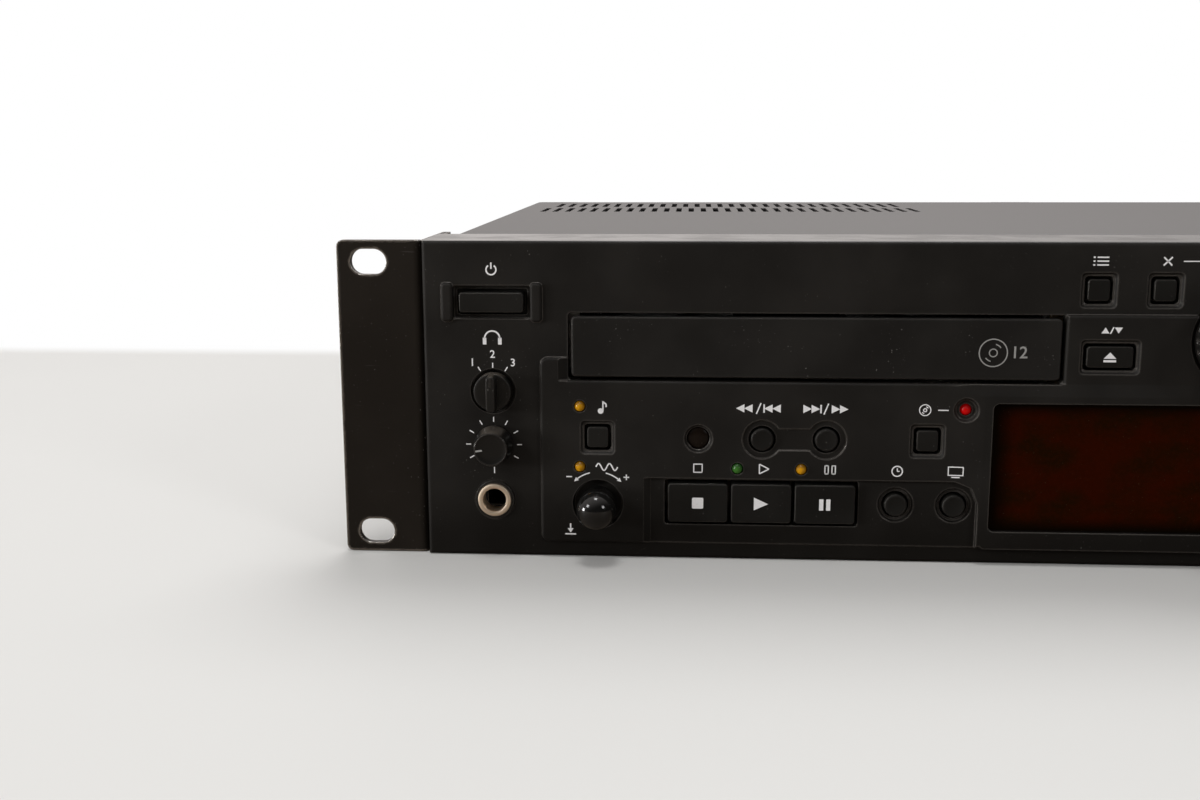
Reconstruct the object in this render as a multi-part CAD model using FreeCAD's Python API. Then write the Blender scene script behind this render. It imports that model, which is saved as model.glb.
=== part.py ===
import FreeCAD, Part
import math
import os

# A two-unit rack deck: a compact disc player with a motor tray on the left, a minidisc
# recorder on the right, one display and one big dial between them.
#
# Millimetres. X runs to the right of the front panel, Y from the panel into the case, Z up.
# Shapes are drawn with y = 0 on the panel's base face, and export() moves them so that the
# origin is at the bottom centre of the whole deck.

# Rack front -------------------------------------------------------------------------
RACK_WIDTH = 482.6
PANEL_HEIGHT = 88.0
SLOT_INSET = 8.75
SLOT_SPACING_Z = 76.2
SLOT_LENGTH = 10.0
SLOT_WIDTH = 7.0
EAR_THICKNESS = 2.3
EAR_SETBACK = 2.0
EAR_LEG = 44.0
EAR_BEND_RADIUS = 2.6
EAR_CORNER_RADIUS = 1.8
EAR_NOTCH = 0.6
EAR_REACH = 23.9

# Bezel ------------------------------------------------------------------------------
BEZEL_DEPTH = 27.6
FRONT_WALL = 3.0
RETURN_WALL = 1.6
BEZEL_EDGE_RADIUS = 1.0
BLOCK_RISE = 1.6
BLOCK_EDGE_RADIUS = 0.7
BLOCK_CORNER_RADIUS = 2.0
BLOCK_INSET = 32.2
BLOCK_BOTTOM = 4.6
BLOCK_SHOULDER = 56.4
BLOCK_TOP = 68.8
NOTCH_BEVEL = 2.8
SURROUND_RISE = 0.7
BROW_TOP = 50.4
BROW_BOTTOM = 46.9
SURROUND_SLOPE = 9.2
SURROUND_SWEEP = 14.0
SURROUND_CLEARANCE = 0.8
SURROUND_FACETS = 6
SURROUND_TOP_SHARE = 0.03

# Case -------------------------------------------------------------------------------
BODY_DEPTH = 272.0
COVER_TOP = 86.3
SHEET = 1.2
COVER_SHEET = 1.0
COVER_GAP = 0.4
COVER_BEND_RADIUS = 2.0
COVER_SKIRT = 1.5
CHASSIS_INSET = 1.0
SUBPANEL_Y = 16.0
FLANGE_HEIGHT = 16.0
SCREW_RADIUS = 1.5
SCREW_HOLE_RADIUS = 1.65
SCREW_HEAD_RADIUS = 3.2
SCREW_HEAD = 1.6
SCREW_LENGTH = 5.0
FOOT_HOLE_RADIUS = 2.1
FOOT_INSET = 32.4
FOOT_FRONT_Y = 50.0
FOOT_REAR_INSET = 22.0
VENT_WIDTH = 2.2
VENT_LENGTH = 28.0
VENT_PITCH = 5.0
VENT_COLUMNS = 31
VENT_INSET = 11.4
VENT_REAR_INSET = 85.0
VENT_ROW_STEP = 40.0
TAB_INSET = 10.9
TAB_WIDTH = 17.0
TAB_HEIGHT = 14.0
TAB_SCREW_DROP = 8.0

# Display ----------------------------------------------------------------------------
WINDOW_WIDTH = 126.4
WINDOW_HEIGHT = 35.4
WINDOW_Z = 27.3
WINDOW_RADIUS = 1.6
WINDOW_SETBACK = 1.7
WINDOW_FIT = 0.1
WINDOW_LIP = 2.0
WINDOW_LIP_THICKNESS = 1.4
TUBE_MARGIN = 6.0
TUBE_FRONT_GAP = 1.0

# Front board ------------------------------------------------------------------------
BOARD_Y = 12.0
BOARD_THICKNESS = 1.6
BOARD_INSET = 7.4
BOARD_BOTTOM = 4.6
BOARD_STRIP_TOP = 48.4
BOARD_TOP = 82.0
BOARD_TRAY_GAP = 1.75
SWITCH_SIZE = 6.0
SWITCH_HEIGHT = 3.4
PLUNGER_RADIUS = 1.7
PLUNGER_HEIGHT = 0.7
POT_SIZE = 10.0
POT_HEIGHT = 5.0
STANDOFF_RADIUS = 2.5
STANDOFF_INSET = 4.0
STANDOFF_LOW_Z = 26.5

# Controls ---------------------------------------------------------------------------
RUNNING_GAP = 0.3
SHAFT_RADIUS = 3.0
SHAFT_FIT = 0.1
SHAFT_HOLE_GAP = 0.4
FLANGE_THICKNESS = 1.4
FLANGE_LIP = 1.0
STEM_RADIUS = 1.4
SWITCH_SLACK = 0.1
CAP_CHAMFER = 0.4

COLUMN_INSET = 19.0
POWER_Z = 71.4
POWER_WIDTH = 18.4
POWER_HEIGHT = 6.2
POWER_TRAVEL = 2.5
POWER_PROUD = 1.4
POWER_POCKET_DEPTH = 1.6
POWER_MARGIN = 1.4
CHEEK_WIDTH = 3.2
CHEEK_HEIGHT = 10.6
CHEEK_RISE = 1.3

SELECTOR_Z = 46.8
SELECTOR_RADIUS = 5.2
SELECTOR_RECESS_RADIUS = 6.2
SELECTOR_RECESS_DEPTH = 1.5
SELECTOR_DISC_PROUD = 2.2
SELECTOR_BAR_WIDTH = 2.8
SELECTOR_BAR_PROUD = 6.0
LEVEL_Z = 31.8
LEVEL_RADIUS = 5.4
LEVEL_PROUD = 7.0
LEVEL_POINTER_DEG = 97.0
JACK_Z = 16.1
JACK_HOLE_RADIUS = 3.2
JACK_RING_RADIUS = 4.7
JACK_COLLAR_RADIUS = 5.6
JACK_COLLAR_PROUD = 0.5
JACK_RING_PROUD = 1.2
JACK_BODY = 12.0
JACK_DEPTH = 33.0
INPUT_KNOB_Z = (46.8, 31.8)
SOCKET_RADIUS = 5.0
SOCKET_DEPTH = 8.2

SQUARE_CAP = 6.6
SQUARE_DISH = 9.4
SQUARE_RADIUS = 1.1
DISH_DEPTH = 0.8
DISH_TAPER = 0.6
SMALL_TRAVEL = 0.6
SQUARE_PROUD = 0.5
SQUARE_Z = 34.4
MENU_Z = 75.3
MENU_PITCH = 17.1
ANSWER_GAP = 7.0
EJECT_Z = 57.7
EJECT_CAP = (13.0, 6.5)
EJECT_DISH = (15.6, 9.3)

ROUND_CAP_RADIUS = 3.3
ROUND_DISH_RADIUS = 4.9
ROUND_PROUD = 1.0
SKIP_WAIST = 6.0
SKIP_RECESS_RADIUS = 5.4
SKIP_RECESS_DEPTH = 0.5
INFO_PITCH = 15.6
IR_LENS_RADIUS = 3.0
IR_RIM_RADIUS = 3.9

RECESS_DEPTH = 1.2
RECESS_OUTER_GAP = 6.85
RECESS_INNER_GAP = 1.1
RECESS_TOP = 23.2
RECESS_CORNER = 6.0
RECESS_BEVEL = 2.0
KEY_WIDTH = 16.4
KEY_HEIGHT = 10.9
KEY_SPACING = 0.95
KEY_Z = 16.3
KEY_PROUD = 1.4
KEY_GAP = 0.9
KEY_TRAVEL = 0.8
KEY_RADIUS = 0.8

LED_RADIUS = 1.5
LED_HOLE_GAP = 0.15
LED_PROUD = 0.9
LED_FLANGE = 0.5
SOURCE_LED_OFFSET = 9.9
SOURCE_LED_DISH = 3.3
PITCH_LED_OFFSET = 4.9
KEY_LED_OFFSET = 6.6
UPPER_LED_Z = 43.1
LOWER_LED_Z = 26.15

PITCH_Z = 15.6
PITCH_RADIUS = 5.35
PITCH_RECESS_RADIUS = 7.1
PITCH_RECESS_DEPTH = 2.0
PITCH_SIDE = 6.9
PITCH_DOME = 4.8
DIAL_Z = 62.4
DIAL_RADIUS = 12.0
DIAL_RECESS_RADIUS = 12.9
DIAL_RECESS_DEPTH = 1.8
DIAL_REACH = 16.0
DIAL_GRIPS = 24
DIAL_GRIP_DEPTH = 0.5
SPINDLE_RADIUS = 2.0
SPINDLE_FIT = 0.08
PUSH_TRAVEL = 0.6

# Spaces across the panel, which share out what room the width leaves ----------------
# Lower row: window lip, info buttons, keys, pitch knob, end of the block.
ROW_GAPS = (2.3, 6.15, 12.25, 8.6)
# Upper row: dial, eject button, tray, end of the block.
TRAY_ROW_GAPS = (12.8, 3.75, 7.55)

# CD drive ---------------------------------------------------------------------------
TRAY_FRONT_WIDTH = 130.6
TRAY_FRONT_HEIGHT = 16.5
TRAY_FRONT_Z = 59.45
TRAY_FRONT_PROUD = 1.0
TRAY_FRONT_THICKNESS = 3.0
TRAY_GAP = 1.0
TRAY_HALF_WIDTH = 62.0
TRAY_UNDERSIDE = 54.2
TRAY_HEIGHT = 5.0
TRAY_TRAVEL = 128.0
WELL_Y = 68.0
WELL_RADIUS = 60.6
WELL_DEPTH = 1.6
SMALL_WELL_RADIUS = 40.6
SMALL_WELL_DEPTH = 1.0
TRAY_SLOT_HALF = 19.0
RAIL_REACH = 1.6
RAIL_HEIGHT = 2.0
RAIL_Z = 56.5
GEAR_MODULE = 1.0
GEAR_TEETH = 18
PRESSURE_DEG = 20.0
BACKLASH = 0.16
GEAR_X = 41.0
GEAR_Y = 26.0
GEAR_HEIGHT = 3.2
GEAR_HUB = 2.5
RACK_DEPTH = 3.6
RACK_BACK = 3.0
RACK_START_Y = 18.0
RACK_TAIL = 7.0
TRAY_LENGTH = GEAR_Y + TRAY_TRAVEL + RACK_TAIL
MOTOR_RADIUS = 8.4
MOTOR_HEIGHT = 20.0
MOTOR_SHAFT_RADIUS = 1.0
FRAME_WALL = 2.0
FRAME_FRONT_Y = 18.0
FRAME_REAR_Y = 172.0
FRAME_TOP = 73.6
BRIDGE_THICKNESS = 1.6
BRIDGE_HALF_DEPTH = 30.0
LIP_HEIGHT = 3.0
BEAM_TOP = 44.0
BEAM_HEIGHT = 4.0
BEAM_DEPTH = 18.0
PIVOT_Y = 150.0
PIVOT_Z = 40.0
PIVOT_RADIUS = 2.0
TRAVERSE_HALF = 34.0
TRAVERSE_FRONT_Y = 39.0
TRAVERSE_SHEET = 2.5
TRAVERSE_BAR = 8.0
TRAVERSE_TOP = 40.5
SLED_WINDOW_HALF = 26.0
ROD_X = 21.0
ROD_Z = 42.4
ROD_RADIUS = 1.5
ROD_LUG = 4.4
SLED_HALF = 16.5
SLED_FRONT_Y = 84.6
SLED_LENGTH = 21.5
SLED_TRAVEL = 34.0
SLED_FRONT_GAP = 2.6
SLED_REAR_GAP = 1.9
SLED_WINDOW_FRONT = SLED_FRONT_Y - SLED_FRONT_GAP
SLED_WINDOW_REAR = SLED_FRONT_Y + SLED_LENGTH + SLED_TRAVEL + SLED_REAR_GAP
LENS_Y = 92.0
LENS_RADIUS = 3.0
LENS_TOP = 52.0
TURNTABLE_RADIUS = 15.0
TURNTABLE_SEAT = 51.8
TURNTABLE_THICKNESS = 3.6
CONE_RADIUS = 7.4
CONE_HEIGHT = 1.5
SPIN_MOTOR_RADIUS = 12.0
SPIN_MOTOR_HEIGHT = 10.0
PUCK_RADIUS = 12.8
PUCK_FLANGE_RADIUS = 16.5
PUCK_FLANGE = 1.5
PUCK_BOTTOM = 60.6

# MiniDisc drive ---------------------------------------------------------------------
MD_SLOT_WIDTH = 75.0
MD_SLOT_HEIGHT = 7.6
MD_SLOT_Z = 59.4
MD_PANEL_RECESS = 0.6
MD_DOOR_THICKNESS = 1.2
MD_DOOR_SETBACK = 1.2
MD_PIN_RADIUS = 0.5
MD_PIN_FIT = 0.08
MD_FRAME_HALF = 40.0
MD_FRAME_DEPTH = 86.0
MD_FRAME_BOTTOM = 48.0
MD_FRAME_TOP = 72.0
MD_BAY_HALF = 36.9
MD_BAY_HEIGHT = 7.2
MD_BAY_DEPTH = 72.0
MD_LEG = 6.0

# Boards, mains and rear connectors --------------------------------------------------
MAIN_BOARD_LEFT = -35.0
MAIN_BOARD_INSET = 12.4
MAIN_BOARD_FRONT = 112.0
MAIN_BOARD_REAR_GAP = 2.8
POST_INSET = 8.0
FLOOR_VENTS = 12
FLOOR_VENT_PITCH = 10.0
FLOOR_VENT_WIDTH = 3.0
FLOOR_VENT_LENGTH = 40.0
FLOOR_VENT_INSET = 68.0
MAIN_BOARD_Z = 14.0
CAPACITORS = 4
CAPACITOR_RADIUS = 6.0
CAPACITOR_HEIGHT = 22.0
CAPACITOR_PITCH = 15.0
CAPACITOR_INSET = (16.0, 30.0)
# Larger parts of the main board: from its left and front edges, width, depth, height.
BOARD_PARTS = (
    (65.0, 18.0, 22.0, 22.0, 2.4),
    (125.0, 38.0, 28.0, 20.0, 3.0),
    (175.0, 28.0, 14.0, 14.0, 2.4),
    (95.0, 78.0, 30.0, 12.0, 24.0),
    (185.0, 88.0, 18.0, 30.0, 12.0),
)
TRANSFORMER_X = -118.0
TRANSFORMER_CORE = (66.0, 34.0, 56.0)
TRANSFORMER_COIL = (40.0, 54.0, 36.0)
TRANSFORMER_FOOT = 84.0
RCA_BARREL_RADIUS = 4.15
RCA_BORE_RADIUS = 3.3
RCA_PIN_RADIUS = 2.0
RCA_SOCKET_RADIUS = 1.6
RCA_REACH = 9.4
RCA_PITCH = 15.0
RCA_COLUMNS = (-84.0, 96.0, 124.0)
RCA_LOWER_Z = 30.0
RCA_BODY_DEPTH = 12.0
RCA_BODY_WIDTH = 12.0
COAX_COLUMNS = (-52.0, 152.0, 176.0)
COAX_Z = 45.0
OPTICAL_Z = 28.0
OPTICAL_SIZE = 9.6
OPTICAL_REACH = 2.4
OPTICAL_RIM = 1.6
INLET_INSET = 33.4
INLET_Z = 34.0
INLET_SIZE = (27.0, 19.6)
INLET_FLANGE = (34.0, 25.0)
INLET_DEPTH = 20.0
INLET_CAVITY = (23.6, 16.4)
INLET_CAVITY_DEPTH = 15.0

# Worked out -------------------------------------------------------------------------
HALF = RACK_WIDTH / 2 - EAR_REACH
SLOT_SPACING_X = RACK_WIDTH - 2 * SLOT_INSET
BLOCK_LEFT = HALF - BLOCK_INSET
COLUMN_X = HALF - COLUMN_INSET
BOARD_HALF_WIDTH = HALF - BOARD_INSET
SURROUND_LEFT = WINDOW_WIDTH / 2 + WINDOW_LIP
SURROUND_FOOT_Z = BLOCK_BOTTOM + BLOCK_EDGE_RADIUS
Y_BLOCK = -BLOCK_RISE
Y_SURROUND = Y_BLOCK - SURROUND_RISE
Y_KEYS = Y_BLOCK + RECESS_DEPTH
Y_PANEL_BACK = FRONT_WALL
Y_FLANGE = Y_PANEL_BACK + RUNNING_GAP
Y_SWITCH = BOARD_Y - SWITCH_HEIGHT - PLUNGER_HEIGHT
Y_POT = BOARD_Y - POT_HEIGHT
COVER_INSIDE_Z = COVER_TOP - COVER_SHEET
COVER_FRONT_Y = BEZEL_DEPTH + COVER_GAP
COVER_INSIDE_X = HALF - COVER_SHEET
CHASSIS_HALF = COVER_INSIDE_X - CHASSIS_INSET
REAR_INSIDE_Y = BODY_DEPTH - SHEET
TRAY_TOP = TRAY_UNDERSIDE + TRAY_HEIGHT
WELL_FLOOR = TRAY_TOP - WELL_DEPTH
FRAME_INSIDE = TRAY_HALF_WIDTH + RAIL_REACH + 2 * RUNNING_GAP
FRAME_HALF = FRAME_INSIDE + FRAME_WALL
GEAR_PITCH_RADIUS = GEAR_MODULE * GEAR_TEETH / 2
GEAR_TOP = TRAY_UNDERSIDE - RUNNING_GAP
MD_FRAME_FRONT = SUBPANEL_Y + SHEET
Y_MD_PANEL = MD_PANEL_RECESS

INFO_SPAN = INFO_PITCH + 2 * ROUND_DISH_RADIUS
KEY_PITCH = KEY_WIDTH + KEY_SPACING
KEYS_SPAN = 2 * KEY_PITCH + KEY_WIDTH
ROW_ROOM = BLOCK_LEFT - SURROUND_LEFT - INFO_SPAN - KEYS_SPAN - 2 * PITCH_RECESS_RADIUS
ROW_SHARE = ROW_ROOM / sum(ROW_GAPS)
DISPLAY_X = SURROUND_LEFT + ROW_GAPS[0] * ROW_SHARE + ROUND_DISH_RADIUS
TIME_X = DISPLAY_X + INFO_PITCH
SOURCE_X = DISPLAY_X + INFO_PITCH / 2
KEY_CENTRE_X = TIME_X + ROUND_DISH_RADIUS + ROW_GAPS[1] * ROW_SHARE + KEYS_SPAN / 2
KEYS_END = KEY_CENTRE_X + KEYS_SPAN / 2
PITCH_X = KEYS_END + ROW_GAPS[2] * ROW_SHARE + PITCH_RECESS_RADIUS
PITCH_POS = (-PITCH_X, PITCH_Z)
RECESS_LEFT = KEYS_END + RECESS_OUTER_GAP * ROW_SHARE
RECESS_RIGHT = SURROUND_LEFT + RECESS_INNER_GAP * ROW_SHARE
SKIP_X = (-KEY_CENTRE_X, KEY_PITCH - KEY_CENTRE_X)
IR_POS = (-KEY_CENTRE_X - KEY_PITCH, SQUARE_Z)
SOURCE_LED_X = SOURCE_X - SOURCE_LED_OFFSET
PITCH_LED_X = PITCH_X + PITCH_LED_OFFSET

TRAY_SPAN = TRAY_FRONT_WIDTH + 2 * TRAY_GAP
TRAY_ROW_ROOM = BLOCK_LEFT - DIAL_RECESS_RADIUS - EJECT_DISH[0] - TRAY_SPAN
TRAY_ROW_SHARE = TRAY_ROW_ROOM / sum(TRAY_ROW_GAPS)
EJECT_X = DIAL_RECESS_RADIUS + TRAY_ROW_GAPS[0] * TRAY_ROW_SHARE + EJECT_DISH[0] / 2
MD_X = BLOCK_LEFT - TRAY_ROW_GAPS[2] * TRAY_ROW_SHARE - TRAY_SPAN / 2
TRAY_X = -MD_X
ANSWER_X = DIAL_RECESS_RADIUS + ANSWER_GAP
MENU_X = ANSWER_X + MENU_PITCH
BOARD_ISLAND = MD_X - TRAY_HALF_WIDTH - RAIL_REACH - BOARD_TRAY_GAP

STEP_TOP = RETURN_WALL + SHEET
STEP_Y = COVER_FRONT_Y + SHEET
FOOT_SPACING_X = 2 * (HALF - FOOT_INSET)
FOOT_SPACING_Y = BODY_DEPTH - FOOT_REAR_INSET - FOOT_FRONT_Y
VENT_LEFT = HALF - VENT_INSET
VENT_FRONT_Y = BODY_DEPTH - VENT_REAR_INSET
MAIN_BOARD_RIGHT = HALF - MAIN_BOARD_INSET
MAIN_BOARD_REAR = REAR_INSIDE_Y - RCA_BODY_DEPTH - MAIN_BOARD_REAR_GAP
TRANSFORMER_POS = (TRANSFORMER_X, (FRAME_REAR_Y + REAR_INSIDE_Y) / 2)
INLET_POS = (INLET_INSET - HALF, INLET_Z)
OVERALL_DEPTH = DIAL_REACH + BODY_DEPTH + RCA_REACH
FRAME_SHIFT_Y = DIAL_REACH - OVERALL_DEPTH / 2

EAR_SCREW_Y = 37.0
EAR_SCREW_Z = (16.0, 44.0, 72.0)
SIDE_SCREW_FRONT_Y = 90.0
SIDE_SCREW_REAR_INSET = 10.0
SIDE_SCREW_Z = 9.0
REAR_SCREW_X = (-VENT_LEFT, -20.0, 70.0, VENT_LEFT)
REAR_SCREW_Z = 8.0
TAB_X = (TAB_INSET - HALF, 0.0, HALF - TAB_INSET)
SIDE_SCREW_REAR_Y = BODY_DEPTH - SIDE_SCREW_REAR_INSET
SIDE_SCREW_Y = (SIDE_SCREW_FRONT_Y, (SIDE_SCREW_FRONT_Y + SIDE_SCREW_REAR_Y) / 2, SIDE_SCREW_REAR_Y)


# Shape helpers ----------------------------------------------------------------------
def vec(x, y, z):
    return FreeCAD.Vector(x, y, z)


def slab(x0, x1, y0, y1, z0, z1):
    """A block between two corners."""
    return Part.makeBox(x1 - x0, y1 - y0, z1 - z0, vec(x0, y0, z0))


def rod_y(x, z, radius, y0, y1):
    """A cylinder along Y."""
    return Part.makeCylinder(radius, y1 - y0, vec(x, y0, z), vec(0, 1, 0))


def rod_z(x, y, radius, z0, z1):
    """A cylinder along Z."""
    return Part.makeCylinder(radius, z1 - z0, vec(x, y, z0), vec(0, 0, 1))


def rod_x(y, z, radius, x0, x1):
    """A cylinder along X."""
    return Part.makeCylinder(radius, x1 - x0, vec(x0, y, z), vec(1, 0, 0))


def cone_y(x, z, radius0, radius1, y0, y1):
    """A cone along Y from radius0 at y0 to radius1 at y1."""
    return Part.makeCone(radius0, radius1, y1 - y0, vec(x, y0, z), vec(0, 1, 0))


def outline(x, z, width, height, radius, y):
    """A rounded rectangle in the plane at y."""
    hw, hh = width / 2, height / 2
    corners = ((1, -1, 270), (1, 1, 0), (-1, 1, 90), (-1, -1, 180))
    edges = []
    ends = []
    for sx, sz, start in corners:
        cx, cz = x + sx * (hw - radius), z + sz * (hh - radius)
        spots = []
        for turn in (0, 45, 90):
            a = math.radians(start + turn)
            spots.append(vec(cx + radius * math.cos(a), y, cz + radius * math.sin(a)))
        ends.append(spots)
    for i, spots in enumerate(ends):
        edges.append(Part.Arc(*spots).toShape())
        edges.append(Part.LineSegment(spots[2], ends[(i + 1) % 4][0]).toShape())
    return Part.Wire(edges)


def plate(x, z, width, height, radius, y0, y1):
    """A rounded rectangle that runs from y0 to y1."""
    face = Part.Face(outline(x, z, width, height, radius, y0))
    return face.extrude(vec(0, y1 - y0, 0))


def tapered(x, z, front, back, radius, y0, y1):
    """A rounded rectangle that changes from the front size at y0 to the back size at y1."""
    wires = [outline(x, z, *front, radius, y0), outline(x, z, *back, radius, y1)]
    return Part.makeLoft(wires, True, True)


def turned(profile, centre, axis):
    """A solid of revolution. The profile's points are (radius, distance along the axis)."""
    side = vec(0, 0, 1) if abs(axis.z) < 0.5 else vec(1, 0, 0)
    points = [centre + side * r + axis * along for r, along in profile]
    face = Part.Face(Part.makePolygon(points + points[:1]))
    return face.revolve(centre, axis, 360)


def prism_y(points, y0, y1):
    """A prism along Y over a polygon of (x, z) points."""
    corners = [vec(x, y0, z) for x, z in points]
    face = Part.Face(Part.makePolygon(corners + corners[:1]))
    return face.extrude(vec(0, y1 - y0, 0))


def prism_z(points, z0, z1):
    """A prism along Z over a polygon of (x, y) points."""
    corners = [vec(x, y, z0) for x, y in points]
    face = Part.Face(Part.makePolygon(corners + corners[:1]))
    return face.extrude(vec(0, 0, z1 - z0))


def edges_at_y(shape, y):
    """The edges that lie in the plane at y."""
    return [e for e in shape.Edges if all(abs(v.Y - y) < 1e-6 for v in e.Vertexes)]


def fused(shapes):
    """One solid from several that touch or overlap."""
    return shapes[0].fuse(shapes[1:]).removeSplitter()


def mirrored_pair(x):
    """A distance from the middle of the deck, on the left and on the right."""
    return (-x, x)


def export(node, shape):
    """Moves a shape from the panel's frame to the deck's and writes its file."""
    moved = shape.copy()
    moved.translate(vec(0, FRAME_SHIFT_Y, 0))
    assert moved.isValid(), node
    moved.exportStep("parts/" + node + ".step")
    print(node, len(moved.Solids), "solids", round(moved.Volume), "mm3")


# Where the controls are -------------------------------------------------------------
def square_spots():
    """The square buttons: node, x, z and the face of the panel that each stands in."""
    return (
        ("key_button", -PITCH_X, SQUARE_Z, Y_BLOCK),
        ("cd_select_button", -SOURCE_X, SQUARE_Z, Y_BLOCK),
        ("md_select_button", SOURCE_X, SQUARE_Z, Y_BLOCK),
        ("cd_menu_button", -MENU_X, MENU_Z, 0.0),
        ("md_menu_button", MENU_X, MENU_Z, 0.0),
        ("no_button", -ANSWER_X, MENU_Z, 0.0),
        ("yes_button", ANSWER_X, MENU_Z, 0.0),
    )


def eject_spots():
    """The wide buttons that open the tray and give back the minidisc."""
    return (
        ("open_close_button", -EJECT_X, EJECT_Z),
        ("md_eject_button", EJECT_X, EJECT_Z),
    )


def round_spots():
    """The round buttons: node, x, z and the face of the panel that each stands in."""
    return (
        ("cd_skip_back_button", SKIP_X[0], SQUARE_Z, Y_BLOCK + SKIP_RECESS_DEPTH),
        ("cd_skip_forward_button", SKIP_X[1], SQUARE_Z, Y_BLOCK + SKIP_RECESS_DEPTH),
        ("time_button", -TIME_X, KEY_Z, Y_KEYS),
        ("display_button", -DISPLAY_X, KEY_Z, Y_KEYS),
        ("record_button", SOURCE_X, KEY_Z, Y_KEYS),
    )


def key_spots():
    """The six transport keys, stop, play and ready on each side."""
    spots = []
    for side, centre in (("cd", -KEY_CENTRE_X), ("md", KEY_CENTRE_X)):
        for i, name in enumerate(("stop", "play", "ready")):
            spots.append((side + "_" + name + "_button", centre + (i - 1) * KEY_PITCH))
    return spots


def led_spots():
    """The lamps: colour, x, z and the face of the panel."""
    spots = [("amber", -PITCH_LED_X, z, Y_BLOCK) for z in (UPPER_LED_Z, LOWER_LED_Z)]
    for play, ready in ((-KEY_CENTRE_X, KEY_PITCH - KEY_CENTRE_X), (KEY_CENTRE_X, KEY_CENTRE_X + KEY_PITCH)):
        spots.append(("green", play - KEY_LED_OFFSET, LOWER_LED_Z, Y_BLOCK))
        spots.append(("amber", ready - KEY_LED_OFFSET, LOWER_LED_Z, Y_BLOCK))
    for x in mirrored_pair(SOURCE_LED_X):
        spots.append(("red", x, UPPER_LED_Z, Y_BLOCK + DISH_DEPTH))
    return spots


def knob_spots():
    """The turning knobs' places, which the pots on the front board share."""
    return (
        (-COLUMN_X, SELECTOR_Z),
        (-COLUMN_X, LEVEL_Z),
        (COLUMN_X, INPUT_KNOB_Z[0]),
        (COLUMN_X, INPUT_KNOB_Z[1]),
    )


# Front bezel ------------------------------------------------------------------------
def control_block():
    """The raised part of the panel's face, notched round the tray and its twin."""
    tray_left = -TRAY_X + TRAY_FRONT_WIDTH / 2 + TRAY_GAP
    tray_right = -TRAY_X - TRAY_FRONT_WIDTH / 2 - TRAY_GAP
    tray_bottom = TRAY_FRONT_Z - TRAY_FRONT_HEIGHT / 2 - TRAY_GAP
    half = (
        (tray_right, BLOCK_TOP),
        (tray_right, tray_bottom),
        (tray_left, tray_bottom),
        (tray_left, BLOCK_SHOULDER),
        (BLOCK_LEFT, BLOCK_SHOULDER),
        (BLOCK_LEFT, BLOCK_BOTTOM),
    )
    points = list(half) + [(-x, z) for x, z in reversed(half)]
    block = prism_y(points, Y_BLOCK, 1.0)
    corners = [
        e
        for e in block.Edges
        if all(abs(abs(v.X) - BLOCK_LEFT) < 1e-6 for v in e.Vertexes)
        and abs(e.Vertexes[0].Y - e.Vertexes[1].Y) > 1
    ]
    block = block.makeFillet(BLOCK_CORNER_RADIUS, corners)
    return block.makeFillet(BLOCK_EDGE_RADIUS, edges_at_y(block, Y_BLOCK))


def surround_loop(share, y):
    """The surround's outline. A share of 1 gives its foot on the block and 0 its flat top."""
    level = SQUARE_Z + SQUARE_DISH / 2 + SURROUND_CLEARANCE
    half = [(SURROUND_LEFT + share * SURROUND_SLOPE, z) for z in (SURROUND_FOOT_Z, level)]
    for i in range(SURROUND_FACETS + 1):
        a = math.radians(90 * i / SURROUND_FACETS)
        x = SURROUND_LEFT + share * SURROUND_SWEEP * math.cos(a)
        half.append((x, BROW_BOTTOM + share * (BROW_TOP - BROW_BOTTOM) * math.sin(a)))
    return [vec(x, y, z) for x, z in half] + [vec(-x, y, z) for x, z in reversed(half)]


def display_surround():
    """The low frame round the display window, which falls away softly to the block's face."""
    height = BROW_BOTTOM - BLOCK_BOTTOM
    frame = plate(
        0, BLOCK_BOTTOM + height / 2, 2 * SURROUND_LEFT, height, 1.2, Y_SURROUND, Y_BLOCK + 0.5
    )
    base = surround_loop(1, Y_BLOCK + 0.5)
    foot = surround_loop(1, Y_BLOCK)
    top = surround_loop(SURROUND_TOP_SHARE, Y_SURROUND)
    rings = [(base, foot), (foot, top)]
    corners = [base, top]
    for low, high in rings:
        for i in range(len(low)):
            j = (i + 1) % len(low)
            corners.append([low[i], low[j], high[j]])
            corners.append([low[i], high[j], high[i]])
    faces = [Part.Face(Part.makePolygon(loop + loop[:1])) for loop in corners]
    sweep = Part.Solid(Part.makeShell(faces)).removeSplitter()
    return frame.fuse(sweep)


def key_recess(sign):
    """The shallow trough that holds the transport keys, open at the bottom of the block."""
    y0, y1 = Y_SURROUND - 1.0, Y_KEYS
    outer, inner = sign * RECESS_LEFT, sign * RECESS_RIGHT
    top, low = RECESS_TOP, BLOCK_BOTTOM - 1.0
    deep = outer - sign * RECESS_BEVEL
    corner = inner + sign * RECESS_CORNER
    knee = RECESS_CORNER * (1 - math.cos(math.radians(45)))
    floor = prism_y(
        (
            (deep, low),
            (deep, top),
            (corner, top),
            (inner + sign * knee, top - knee),
            (inner, top - RECESS_CORNER),
            (inner, low),
        ),
        y0,
        y1,
    )
    ramp = (vec(deep, Y_KEYS, low), vec(deep, Y_BLOCK - 0.1, low), vec(outer, Y_BLOCK - 0.1, low))
    bevel = Part.Face(Part.makePolygon(ramp + ramp[:1])).extrude(vec(0, 0, top - low))
    return [floor, bevel]


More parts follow.
